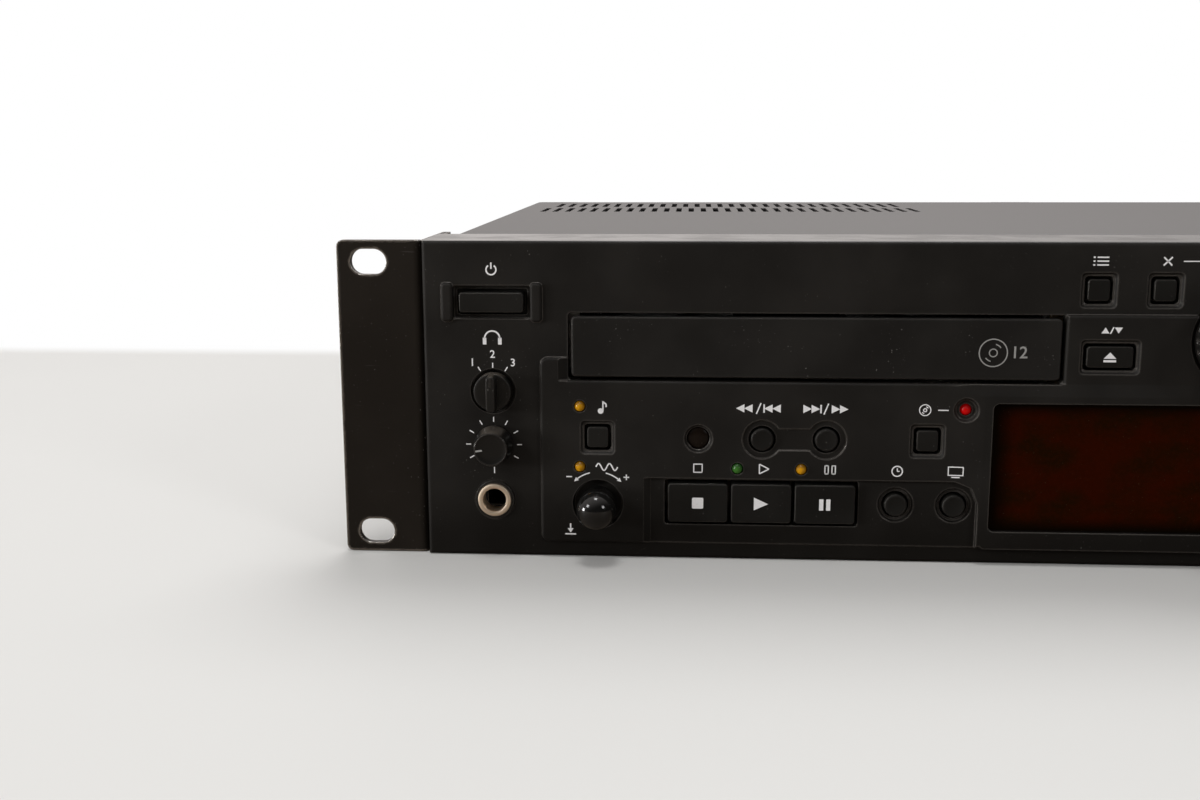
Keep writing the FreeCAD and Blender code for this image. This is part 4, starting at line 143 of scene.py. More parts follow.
class Net:
    """A node tree, with short ways to add the nodes that finishes use."""

    def __init__(self, owner: Union[bpy.types.Material, bpy.types.World], ending: str) -> None:
        """Empties the owner's tree and adds its output node.

        Args:
            owner: The material or the world.
            ending: The output node's type.
        """
        owner.use_nodes = True
        self.owner = owner
        self.tree = owner.node_tree
        self.tree.nodes.clear()
        self.output = self.tree.nodes.new(ending)

    def feed(self, socket: bpy.types.NodeSocket, what: Feed) -> None:
        """Links a value to a socket, or sets the socket's own number, vector or colour.

        Args:
            socket: The node's input.
            what: A value to link, or a number, vector or colour to set.
        """
        if isinstance(what, Value):
            self.tree.links.new(what.socket, socket)
        elif isinstance(what, (int, float)):
            socket.default_value = what
        else:
            plain = tuple(what)
            wide = socket.type == "RGBA" and len(plain) == 3
            socket.default_value = (*plain, 1.0) if wide else plain

    def node(
        self, kind: str, settings: Optional[dict] = None, feeds: Optional[dict] = None
    ) -> bpy.types.Node:
        """Adds a node.

        Args:
            kind: The node's type.
            settings: Its own settings, which are made first.
            feeds: What goes into its sockets, by name or place.

        Returns:
            The new node.
        """
        made = self.tree.nodes.new(kind)
        for key, setting in (settings or {}).items():
            setattr(made, key, setting)
        for key, what in (feeds or {}).items():
            self.feed(made.inputs[key], what)
        return made

    def value(
        self,
        kind: str,
        settings: Optional[dict] = None,
        feeds: Optional[dict] = None,
        output: Union[int, str] = 0,
    ) -> Value:
        """Adds a node and gives one of its outputs."""
        return Value(self, self.node(kind, settings, feeds).outputs[output])

    def place(self) -> Value:
        """The point on the surface, in metres on the deck's axes."""
        return self.value("ShaderNodeTexCoord", output="Object")

    def axis(self, name: str) -> Value:
        """One of the point's three coordinates, in millimetres."""
        parts = self.value("ShaderNodeSeparateXYZ", None, {0: self.place()}, output=name)
        return parts / MM

    def facing(self, name: str) -> Value:
        """One of the three parts of the surface's own normal."""
        normal = self.value("ShaderNodeNewGeometry", output="True Normal")
        return self.value("ShaderNodeSeparateXYZ", None, {0: normal}, output=name)

    def noise(
        self, size: float, detail: float = 2.0, stretch: Place = (1.0, 1.0, 1.0), seed: float = 0.0
    ) -> Value:
        """Smooth noise between 0 and 1.

        Args:
            size: The size of its blobs in millimetres.
            detail: How many finer layers it has.
            stretch: How much longer the blobs are along X, Y and Z.
            seed: Moves the noise, so that two layers differ.

        Returns:
            The noise.
        """
        scaled = tuple(1.0 / (s * size * MM) for s in stretch)
        shift = tuple(seed * way for way in SEED_WAY)
        feeds = {0: self.place(), 1: scaled, 2: shift}
        vector = self.value("ShaderNodeVectorMath", {"operation": "MULTIPLY_ADD"}, feeds)
        return self.value("ShaderNodeTexNoise", None, {"Vector": vector, "Scale": 1.0, "Detail": detail})

    def mix(self, factor: Feed, a: Feed, b: Feed) -> Value:
        """A colour that goes from a to b."""
        feeds = {0: factor, MIX_A: a, MIX_B: b}
        return self.value("ShaderNodeMix", {"data_type": "RGBA"}, feeds, MIX_RESULT)

    def round_normal(self, radius: float) -> Value:
        """The surface's normal with every edge rounded by a radius in millimetres."""
        return self.value("ShaderNodeBevel", {"samples": 4}, {"Radius": radius * MM})

    def edge(self, radius: float) -> Value:
        """How near a sharp edge is: 0 on a flat face, growing towards an edge.

        Args:
            radius: How far the edge's wear reaches, in millimetres.

        Returns:
            The nearness as a value.
        """
        plain = self.value("ShaderNodeNewGeometry", output="True Normal")
        feeds = {0: plain, 1: self.round_normal(radius)}
        same = self.value("ShaderNodeVectorMath", {"operation": "DOT_PRODUCT"}, feeds, output="Value")
        return 1.0 - same

    def bump(self, height: Feed, depth: float, normal: Optional[Value] = None) -> Value:
        """A normal that follows a height map of the given depth in millimetres.

        Args:
            height: The height map, from 0 to 1.
            depth: The height of 1, in millimetres.
            normal: The normal to start from, the surface's own if left out.

        Returns:
            The normal as a value.
        """
        feeds: dict = {"Height": height, "Distance": depth * MM, "Strength": 1.0}
        if normal is not None:
            feeds["Normal"] = normal
        return self.value("ShaderNodeBump", None, feeds)

    def surface(self, **sockets: Feed) -> bpy.types.Material:
        """Closes the net with one Principled shader.

        Args:
            sockets: What each socket gets, with spaces in the names written as underscores.

        Returns:
            The finished material.
        """
        feeds = {key.replace("_", " "): what for key, what in sockets.items()}
        self.close(self.value("ShaderNodeBsdfPrincipled", None, feeds))
        return self.owner

    def close(self, shader: Value) -> None:
        """Links the last shader to the output."""
        self.feed(self.output.inputs["Surface"], shader)


# The panel's place in the frame ---------------------------------------------------------
EAR_SETBACK = 2.0
BOARD_SETBACK = 12.0
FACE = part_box("rack_ear_left")[0].y / MM - EAR_SETBACK
FRONT_BOARD_FACE = FACE + BOARD_SETBACK


def at(x: float, y: float, z: float) -> Vector:
    """A point in millimetres, with y = 0 on the panel's base face, as a point of the frame."""
    return Vector((x * MM, (FACE + y) * MM, z * MM))


# Finishes -----------------------------------------------------------------------------
@dataclass(frozen=True)
class Finish:
    """What a surface is made of. Each finish makes its material once and shares it."""

    name: str

    def material(self) -> bpy.types.Material:
        """The finish's material, made the first time that it is asked for.

        Returns:
            The material.
        """
        made = bpy.data.materials.get(self.name)
        if made:
            return made
        return self.build(Net(bpy.data.materials.new(self.name), "ShaderNodeOutputMaterial"))

    def build(self, net: Net) -> bpy.types.Material:
        """Draws the material's nodes."""
        raise NotImplementedError


@dataclass(frozen=True)
class Moulded(Finish):
    """Moulded plastic with a fine grain, handling marks and a little dust, with painted shade towards the
    bottom, a painted highlight along its edges and tops lightened by dust and painted light.
    """

    colour: Colour = (0.0115, 0.0112, 0.0112)
    roughness: float = 0.46
    grain: float = 0.004
    grain_size: float = 0.32
    edge_radius: float = 0.25
    rubbed: float = 0.5
    dust: float = 0.5
    specular: float = 0.11
    edge_gloss: float = 0.2
    # How strongly every edge is painted light as a highlight, partly as metallic reflection of the lamps
    painted_edge_highlight: float = 0.3
    top_gloss: float = 0.0
    # Painted shade: how strongly the lower part is darkened, between the heights and towards the colour given
    # below
    low_painted_shade: float = 0.0
    # Faces that look up are lighter: dust that settles there, and painted light where the top lamp falls
    top_dust_and_light: float = 0.0
    painted_shade_heights: Point = (27.0, 4.0)
    painted_shade_colour: Colour = (0.0030, 0.0022, 0.0014)
    speck_colour: Colour = (0.30, 0.29, 0.27)
    # The colour of the lighter tops: dust, together with painted light
    dust_colour: Colour = (0.115, 0.098, 0.080)
    painted_highlight_colour: Colour = (0.27, 0.25, 0.23)

    def build(self, net: Net) -> bpy.types.Material:
        """Draws the material's nodes.

        Args:
            net: The material's empty node tree.

        Returns:
            The material.
        """
        cloud = net.noise(26.0, 3.0, seed=3.1)
        base = net.mix(cloud.fade(0.3, 0.75), toned(self.colour, 0.82), toned(self.colour, 1.3, 0.001))
        # Painted shade: the base darkens towards the bottom of the part, where less light falls
        low_shade = net.axis("Z").fade(*self.painted_shade_heights) * self.low_painted_shade
        base = net.mix(low_shade, base, self.painted_shade_colour)
        edges = net.edge(self.edge_radius * 1.5)
        wear = (edges * net.noise(2.4, 3.0, seed=7.0)).fade(0.06, 0.34) * self.rubbed
        base = net.mix(wear, base, toned(self.colour, 2.6, 0.02))
        specks = net.noise(0.42, 1.0, seed=11.0).fade(0.745, 0.80)
        patches = net.noise(9.0, 2.0, seed=5.0).fade(0.45, 0.7)
        dust = specks * patches * self.dust
        base = net.mix(dust, base, self.speck_colour)
        smudge = net.noise(14.0, 4.0, stretch=(1.0, 1.0, 1.6), seed=1.3).fade(0.35, 0.7)
        rim = edges.fade(0.03, 0.14)
        top = net.facing("Z").fade(0.7, 0.95)
        # Faces that look up turn lighter: settled dust, and painted light from above
        base = net.mix(top * self.top_dust_and_light, base, self.dust_colour)
        rough = self.roughness + smudge * 0.09 + dust * 0.3 - rim * self.edge_gloss - top * self.top_gloss
        # Painted highlight: edges get a light base colour and are partly metallic, so every rim looks lit and
        # also reflects the lamps
        shine = rim * self.painted_edge_highlight
        base = net.mix(shine, base, self.painted_highlight_colour)
        grain = net.noise(self.grain_size, 1.5, seed=2.0)
        return net.surface(
            Base_Color=base,
            Roughness=rough,
            Metallic=shine,
            Normal=net.bump(grain, self.grain, net.round_normal(self.edge_radius)),
            Specular_IOR_Level=self.specular,
        )


@dataclass(frozen=True)
class PaintedSteel(Finish):
    """Paint on sheet steel, chipped to the bare metal along its edges."""

    colour: Colour = (0.0100, 0.0094, 0.0090)
    roughness: float = 0.40
    peel: float = 0.006
    peel_size: float = 0.55
    chips: float = 1.0
    scuffs: float = 0.4
    dust: float = 0.4
    edge_radius: float = 0.22
    chip_reach: float = 0.5
    specular: float = 0.5
    film: float = 0.0
    film_colour: Colour = (0.23, 0.185, 0.160)
    speck_colour: Colour = (0.34, 0.33, 0.31)
    bare_colour: Colour = (0.62, 0.59, 0.55)

    def build(self, net: Net) -> bpy.types.Material:
        """Draws the material's nodes.

        Args:
            net: The material's empty node tree.

        Returns:
            The material.
        """
        cloud = net.noise(30.0, 3.0, seed=4.0)
        paint = net.mix(cloud.fade(0.3, 0.7), self.colour, toned(self.colour, 1.3, 0.001))
        settled = net.noise(17.0, 5.0, stretch=(2.6, 1.0, 1.0), seed=15.0).fade(0.32, 0.72) * self.film
        paint = net.mix(settled, paint, self.film_colour)
        hairs = net.noise(1.1, 2.0, stretch=(14.0, 1.0, 1.0), seed=8.0).fade(0.70, 0.78)
        cross = net.noise(1.3, 2.0, stretch=(1.0, 9.0, 11.0), seed=2.6).fade(0.72, 0.80)
        scuff = hairs.either(cross) * net.noise(40.0, 2.0, seed=6.0).fade(0.45, 0.65) * self.scuffs
        paint = net.mix(scuff, paint, toned(self.colour, 3.0, 0.06))
        specks = net.noise(0.5, 1.0, seed=12.0).fade(0.74, 0.80) * self.dust
        paint = net.mix(specks, paint, self.speck_colour)
        edges = net.edge(self.chip_reach)
        chip = (edges * net.noise(1.5, 4.0, seed=9.0)).fade(0.095, 0.115) * self.chips
        height = net.noise(self.peel_size, 1.5, seed=3.0) - chip * 3.0
        return net.surface(
            Base_Color=net.mix(chip, paint, self.bare_colour),
            Roughness=(self.roughness + scuff * 0.15 + specks * 0.3) * (1.0 - chip * 0.35),
            Metallic=chip * 0.95,
            Normal=net.bump(height, self.peel, net.round_normal(self.edge_radius)),
            Specular_IOR_Level=self.specular,
        )


@dataclass(frozen=True)
class Metal(Finish):
    """Bare or plated metal, with drawn lines and faint tarnish."""

    colour: Colour = (0.62, 0.61, 0.59)
    tarnish: Colour = (0.40, 0.37, 0.33)
    roughness: float = 0.28
    lines: float = 0.002
    line_stretch: Place = (18.0, 1.0, 1.0)
    edge_radius: float = 0.12

    def build(self, net: Net) -> bpy.types.Material:
        """Draws the material's nodes.

        Args:
            net: The material's empty node tree.

        Returns:
            The material.
        """
        cloud = net.noise(11.0, 4.0, seed=5.5).fade(0.42, 0.78)
        base = net.mix(cloud * 0.55, self.colour, self.tarnish)
        drawn = net.noise(0.35, 2.0, stretch=self.line_stretch, seed=1.0)
        rough = self.roughness + cloud * 0.14 + drawn * 0.08
        normal = net.bump(drawn, self.lines, net.round_normal(self.edge_radius))
        return net.surface(Base_Color=base, Roughness=rough, Metallic=1.0, Normal=normal)


@dataclass(frozen=True)
class SmokedWindow(Finish):
    """The dark red-brown window, darker where its border is printed behind the pane."""

    half_width: float = 63.1
    low: float = 9.7
    high: float = 44.9
    border: Point = (3.4, 2.2)
    soft: Point = (3.6, 2.2)
    centre: Colour = (0.0245, 0.0029, 0.0001)
    brown: Colour = (0.0115, 0.0037, 0.0004)
    rim: Colour = (0.0040, 0.0018, 0.0004)
    fleck: Colour = (0.040, 0.005, 0.0004)
    dust_colour: Colour = (0.20, 0.17, 0.14)
    specular: float = 0.015

    def build(self, net: Net) -> bpy.types.Material:
        """Draws the material's nodes.

        Args:
            net: The material's empty node tree.

        Returns:
            The material.
        """
        across = net.axis("X").maths("ABSOLUTE")
        up = net.axis("Z")
        middle = (self.low + self.high) / 2
        reach = self.half_width - self.border[0]
        height = (self.high - self.low) / 2 - self.border[1]
        side = across.fade(reach + self.soft[0], reach - self.soft[0])
        tall = (up - middle).maths("ABSOLUTE").fade(height + self.soft[1], height - self.soft[1])
        patches = net.noise(8.0, 3.0, stretch=(1.6, 1.0, 1.0), seed=2.2).fade(0.32, 0.64)
        warm = net.mix(patches, self.brown, self.centre)
        weave = net.noise(1.1, 2.0, seed=9.0).fade(0.35, 0.75)
        warm = net.mix(weave * 0.22, warm, self.fleck)
        base = net.mix(side * tall, self.rim, warm)
        dust = net.noise(0.34, 1.0, seed=14.0).fade(0.765, 0.81)
        wipe = net.noise(10.0, 3.0, stretch=(4.0, 1.0, 1.0), seed=6.0).fade(0.45, 0.8)
        return net.surface(
            Base_Color=net.mix(dust * 0.30, base, self.dust_colour),
            Roughness=0.085 + wipe * 0.07 + dust * 0.4,
            Normal=net.bump(net.noise(30.0, 1.0), 0.01, net.round_normal(0.2)),
            Specular_IOR_Level=self.specular,
        )


@dataclass(frozen=True)
class Lamp(Finish):
    """Diffuse coloured plastic of a lamp, with painted shade that deepens its colour towards its rim and its
    top and leaves it lighter below. A painted glow makes it shine faintly.
    """

    colour: Colour = (0.64, 0.30, 0.006)
    deep: Colour = (0.18, 0.080, 0.002)
    painted_glow: float = 0.0
    specular: float = 0.22

    def build(self, net: Net) -> bpy.types.Material:
        """Draws the material's nodes.

        Args:
            net: The material's empty node tree.

        Returns:
            The material.
        """
        # Painted shade and light: the colour deepens towards the rim and the top of the dome and stays light
        # below, as light passing through the lens would fall
        rim = net.facing("Y") + net.facing("Z") * 0.45 + 1.0
        speckle = net.noise(0.35, 2.0, seed=1.0) * 0.12
        base = net.mix((rim + speckle).fade(-0.05, 0.75), self.colour, self.deep)
        return net.surface(
            Base_Color=base,
            Roughness=net.noise(1.0, 1.0) * 0.02 + 0.02,
            Emission_Color=base,
            # Painted light: the lens gives off its own colour as a faint glow
            Emission_Strength=self.painted_glow,
            Specular_IOR_Level=self.specular,
            Normal=net.bump(net.noise(0.5, 1.0), 0.002),
        )


@dataclass(frozen=True)
class Ink(Finish):
    """Screen-printed ink, slightly broken up by the grain under it."""

    colour: Colour = (0.62, 0.62, 0.60)

    def build(self, net: Net) -> bpy.types.Material:
        """Draws the material's nodes.

        Args:
            net: The material's empty node tree.

        Returns:
            The material.
        """
        worn = net.noise(0.5, 3.0, seed=4.0).fade(0.55, 0.80)
        base = net.mix(worn * 0.35, self.colour, toned(self.colour, 0.55))
        normal = net.bump(net.noise(0.25, 1.0), 0.002)
        return net.surface(Base_Color=base, Roughness=0.55 + worn * 0.2, Normal=normal)


@dataclass(frozen=True)
class Board(Finish):
    """A printed board: lacquer over copper tracks, and dark parts above its face."""

    axis: str = "Z"
    face: float = 15.6
    outward: float = 1.0
    colour: Colour = (0.035, 0.11, 0.04)
    track: Colour = (0.07, 0.19, 0.07)
    part: Colour = (0.020, 0.020, 0.022)
    marking: Colour = (0.22, 0.22, 0.21)
    solder: Colour = (0.55, 0.53, 0.50)

    def build(self, net: Net) -> bpy.types.Material:
        """Draws the material's nodes.

        Args:
            net: The material's empty node tree.

        Returns:
            The material.
        """
        lines = net.noise(3.0, 0.0, stretch=(9.0, 1.0, 1.0), seed=3.0).fade(0.48, 0.52)
        cross = net.noise(3.0, 0.0, stretch=(1.0, 9.0, 9.0), seed=8.0).fade(0.52, 0.56)
        tracks = lines.either(cross)
        base = net.mix(tracks, self.colour, self.track)
        pads = net.noise(1.6, 0.0, seed=21.0).fade(0.80, 0.83)
        base = net.mix(pads, base, self.solder)
        above = ((net.axis(self.axis) - self.face) * self.outward).fade(0.04, 0.10)
        marks = net.noise(2.2, 2.0, stretch=(4.0, 1.0, 1.0), seed=5.0).fade(0.62, 0.70)
        part = net.mix(marks * 0.5, self.part, self.marking)
        return net.surface(
            Base_Color=net.mix(above, base, part),
            Roughness=0.34 + above * 0.12,
            Metallic=pads * (1.0 - above) * 0.8,
            Normal=net.bump(tracks + pads, 0.03, net.round_normal(0.15)),
        )


@dataclass(frozen=True)
class Iron(Finish):
    """Varnished transformer iron, with the edges of its plates showing as lines."""

    colour: Colour = (0.055, 0.042, 0.034)
    edge_colour: Colour = (0.13, 0.10, 0.08)
    plate: float = 0.5

    def build(self, net: Net) -> bpy.types.Material:
        """Draws the material's nodes.

        Args:
            net: The material's empty node tree.

        Returns:
            The material.
        """
        stack = (net.axis("Y") / self.plate).maths("FRACT").fade(0.35, 0.65)
        blotch = net.noise(8.0, 4.0, seed=3.0).fade(0.4, 0.7)
        base = net.mix(stack * 0.5 + blotch * 0.3, self.colour, self.edge_colour)
        normal = net.bump(stack, 0.08, net.round_normal(0.3))
        return net.surface(Base_Color=base, Roughness=0.42 + blotch * 0.2, Metallic=0.3, Normal=normal)


PANEL = Moulded(
    "satin_panel",
    colour=(0.0138, 0.0126, 0.0113),
    edge_radius=0.45,
    painted_edge_highlight=0.38,
    top_gloss=0.36,
    low_painted_shade=0.62,
)
TRAY_FACE = Moulded(
    "tray_face", colour=(0.0142, 0.0132, 0.0121), roughness=0.42, dust=0.9, edge_radius=0.45, painted_edge_highlight=0.6
)
KEY_CAP = Moulded(
    "key_cap",
    colour=(0.0104, 0.0098, 0.0088),
    roughness=0.38,
    grain=0.0015,
    rubbed=0.8,
    edge_radius=0.35,
    painted_edge_highlight=0.55,
)
KNOB = Moulded(
    "knob_moulding",
    colour=(0.0078, 0.0072, 0.0064),
    roughness=0.30,
    grain=0.001,
    specular=0.26,
    edge_radius=0.35,
    top_dust_and_light=0.55,
)
DOME = Moulded(
    "polished_dome", colour=(0.0045, 0.0043, 0.0040), roughness=0.07, grain=0.0003, rubbed=0.2, specular=0.42
)
SOCKET_BLACK = Moulded("socket_moulding", colour=(0.012, 0.012, 0.013), roughness=0.34, grain=0.001)
DRIVE_BLACK = Moulded("drive_moulding", colour=(0.018, 0.018, 0.019), roughness=0.5, grain=0.006)
TRAY_GREY = Moulded("tray_moulding", colour=(0.032, 0.032, 0.034), roughness=0.45, grain=0.005, rubbed=0.7)
FELT = Moulded(
    "felt_mat", colour=(0.020, 0.020, 0.021), roughness=0.85, grain=0.03, grain_size=0.5, rubbed=0.0
)
ACETAL = Moulded(
    "natural_acetal",
    colour=(0.78, 0.75, 0.66),
    roughness=0.36,
    grain=0.001,
    rubbed=0.0,
    dust=0.3,
    specular=0.5,
    painted_edge_highlight=0.0,
)
LENS_BLUE = Moulded(
    "pickup_glass",
    colour=(0.010, 0.022, 0.060),
    roughness=0.05,
    grain=0.0001,
    rubbed=0.0,
    dust=0.1,
    specular=0.5,
)
LENS_DARK = Moulded(
    "remote_lens", colour=(0.0100, 0.0066, 0.0046), roughness=0.16, grain=0.0004, rubbed=0.0, specular=0.10
)


def insert(name: str, colour: Colour) -> Moulded:
    """The glossy plastic of a coloured insulator."""
    return Moulded(name, colour, roughness=0.35, grain=0.001, rubbed=0.1, specular=0.5, painted_edge_highlight=0.0)


RED_INSERT = insert("red_insulator", (0.48, 0.012, 0.012))
WHITE_INSERT = insert("white_insulator", (0.70, 0.69, 0.66))
AMBER_INSERT = insert("amber_insulator", (0.62, 0.24, 0.02))
EAR_PAINT = PaintedSteel(
    "ear_paint", colour=(0.0124, 0.0100, 0.0078), specular=0.10, edge_radius=0.35, chip_reach=1.6
)
COVER_PAINT = PaintedSteel(
    "cover_paint",
    colour=(0.030, 0.0285, 0.0270),
    roughness=0.50,
    peel=0.012,
    chips=0.25,
    scuffs=0.9,
    dust=1.0,
    film=0.34,
)
REAR_PAINT = PaintedSteel(
    "rear_paint", colour=(0.016, 0.0155, 0.015), roughness=0.45, chips=0.4, scuffs=0.5
)
SCREW_BLACK = PaintedSteel(
    "blacked_screw", colour=(0.020, 0.020, 0.021), roughness=0.32, chips=0.7, scuffs=0.2
)
ZINC = Metal("zinc_sheet", colour=(0.58, 0.59, 0.60), roughness=0.34)
NICKEL = Metal("nickel_plate", colour=(0.74, 0.71, 0.65), roughness=0.16, lines=0.0006)
RING_NICKEL = Metal(
    "worn_nickel", colour=(0.92, 0.78, 0.62), tarnish=(0.56, 0.43, 0.30), roughness=0.34, lines=0.0006
)
STEEL = Metal("ground_steel", colour=(0.60, 0.60, 0.60), roughness=0.22, line_stretch=(1.0, 14.0, 1.0))
BRASS = Metal("socket_brass", colour=(0.72, 0.55, 0.27), tarnish=(0.40, 0.28, 0.12), roughness=0.25)
WINDOW = SmokedWindow("smoked_window")
AMBER = Lamp("amber_lamp")
GREEN = Lamp("green_lamp", colour=(0.046, 0.165, 0.024), deep=(0.014, 0.055, 0.010))
RED = Lamp("red_lamp", colour=(0.42, 0.0012, 0.0015), deep=(0.19, 0.0008, 0.001), painted_glow=0.30)
WHITE_INK = Ink("white_ink", colour=(0.86, 0.86, 0.87))
GREY_INK = Ink("grey_ink", colour=(0.33, 0.33, 0.32))
MAIN_BOARD = Board("main_board_lacquer")
FRONT_BOARD = Board(
    "front_board_lacquer",
    axis="Y",
    face=FRONT_BOARD_FACE,
    outward=-1.0,
    colour=(0.10, 0.065, 0.03),
    track=(0.13, 0.09, 0.045),
)
CORE = Iron("transformer_iron")


# Places of the frame's solids ---------------------------------------------------------------
# Corners of a solid's mesh nearer than this, in metres, are one
SAME_CORNER = 1e-6


@dataclass(frozen=True)
class Spot:
    """A solid's box on the panel's axes, in millimetres."""

    low: Place
    high: Place

    @property
    def x(self) -> float:
        """The middle across the panel."""
        return (self.low[0] + self.high[0]) / 2

    @property
    def z(self) -> float:
        """The middle height."""
        return (self.low[2] + self.high[2]) / 2

    @property
    def front(self) -> float:
        """The end that faces out of the panel."""
        return self.low[1]

    @property
    def back(self) -> float:
        """The end inside the case."""
        return self.high[1]

    @property
    def width(self) -> float:
        """The size across the panel."""
        return self.high[0] - self.low[0]

    @property
    def height(self) -> float:
        """The size along Z."""
        return self.high[2] - self.low[2]


def spot_of(low: Vector, high: Vector) -> Spot:
    """A box of the frame as a spot on the panel."""
    shift = Vector((0.0, FACE, 0.0))
    return Spot(tuple(low / MM - shift), tuple(high / MM - shift))


def spot(node: str) -> Spot:
    """Where a solid of the frame is."""
    return spot_of(*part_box(node))


def islands(node: str) -> list[Spot]:
    """Where each separate solid in a node is.

    Args:
        node: The node's name.

    Returns:
        A place for each solid, from left to right.
    """
    mesh = bmesh.new()
    mesh.from_mesh(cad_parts[node].data)
    bmesh.ops.remove_doubles(mesh, verts=mesh.verts, dist=SAME_CORNER)
    found = []
    unseen = set(mesh.verts)
    while unseen:
        first = unseen.pop()
        reached, waiting = [first], [first]
        while waiting:
            for edge in waiting.pop().link_edges:
                for vert in edge.verts:
                    if vert in unseen:
                        unseen.remove(vert)
                        waiting.append(vert)
                        reached.append(vert)
        low = Vector([min(v.co[i] for v in reached) for i in range(3)])
        high = Vector([max(v.co[i] for v in reached) for i in range(3)])
        found.append(spot_of(low, high))
    mesh.free()
    return sorted(found, key=lambda s: (s.low[0], s.low[2], s.low[1]))


# Mesh kit ---------------------------------------------------------------------------------
ROD_SIDES = 24
BEVEL_SEGMENTS = 3
# Points nearer than this, in metres, become one
SAME_POINT = 1e-7


class Axis(Enum):
    """The way that a turned piece's axis points."""

    Y = "Y"
    Z = "Z"


def on_circle(x: float, z: float, radius: float, turn: float) -> Point:
    """The point of a circle at an angle in radians, counted from +X towards +Z."""
    return (x + radius * math.cos(turn), z + radius * math.sin(turn))


def circle(radius: float, steps: int = 40) -> list[Point]:
    """A circle's points about its own centre."""
    return [on_circle(0.0, 0.0, radius, 2 * math.pi * i / steps) for i in range(steps)]


def quarter_round(inner: float, front: float, wide: float, deep: float, steps: int) -> list[Point]:
    """A quarter round of a turned profile, from its front edge out and back to its side.

    Args:
        inner: The radius where it starts.
        front: The distance along the axis where it starts.
        wide: How far it goes outwards.
        deep: How far it goes back.
        steps: How many stretches it has.

    Returns:
        Its (radius, distance along the axis) points.
    """
    turns = [math.radians(90 * i / steps) for i in range(steps + 1)]
    return [(inner + wide * math.sin(a), front + deep - deep * math.cos(a)) for a in turns]


def link(name: str, data: bpy.types.ID) -> bpy.types.Object:
    """A new object of the scene.

    Args:
        name: The object's name.
        data: Its mesh, curve, lamp or camera.

    Returns:
        The object.
    """
    made = bpy.data.objects.new(name, data)
    bpy.context.scene.collection.objects.link(made)
    return made


def rounded(width: float, height: float, radius: float, steps: int = 6) -> list[Point]:
    """A rounded rectangle's points about its own centre.

    Args:
        width: Its size along the first axis.
        height: Its size along the second axis.
        radius: The radius of its corners.
        steps: How many stretches each corner has.

    Returns:
        The points, in order round the outline.
    """
    points = []
    for corner, (sx, sy) in enumerate(((1, 1), (-1, 1), (-1, -1), (1, -1))):
        cx, cy = sx * (width / 2 - radius), sy * (height / 2 - radius)
        for i in range(steps + 1):
            a = math.radians(90 * (corner + i / steps))
            points.append(on_circle(cx, cy, radius, a))
    return points


def moved(points: Iterable[Point], dx: float, dz: float) -> list[Point]:
    """An outline moved by dx and dz."""
    return [(x + dx, z + dz) for x, z in points]


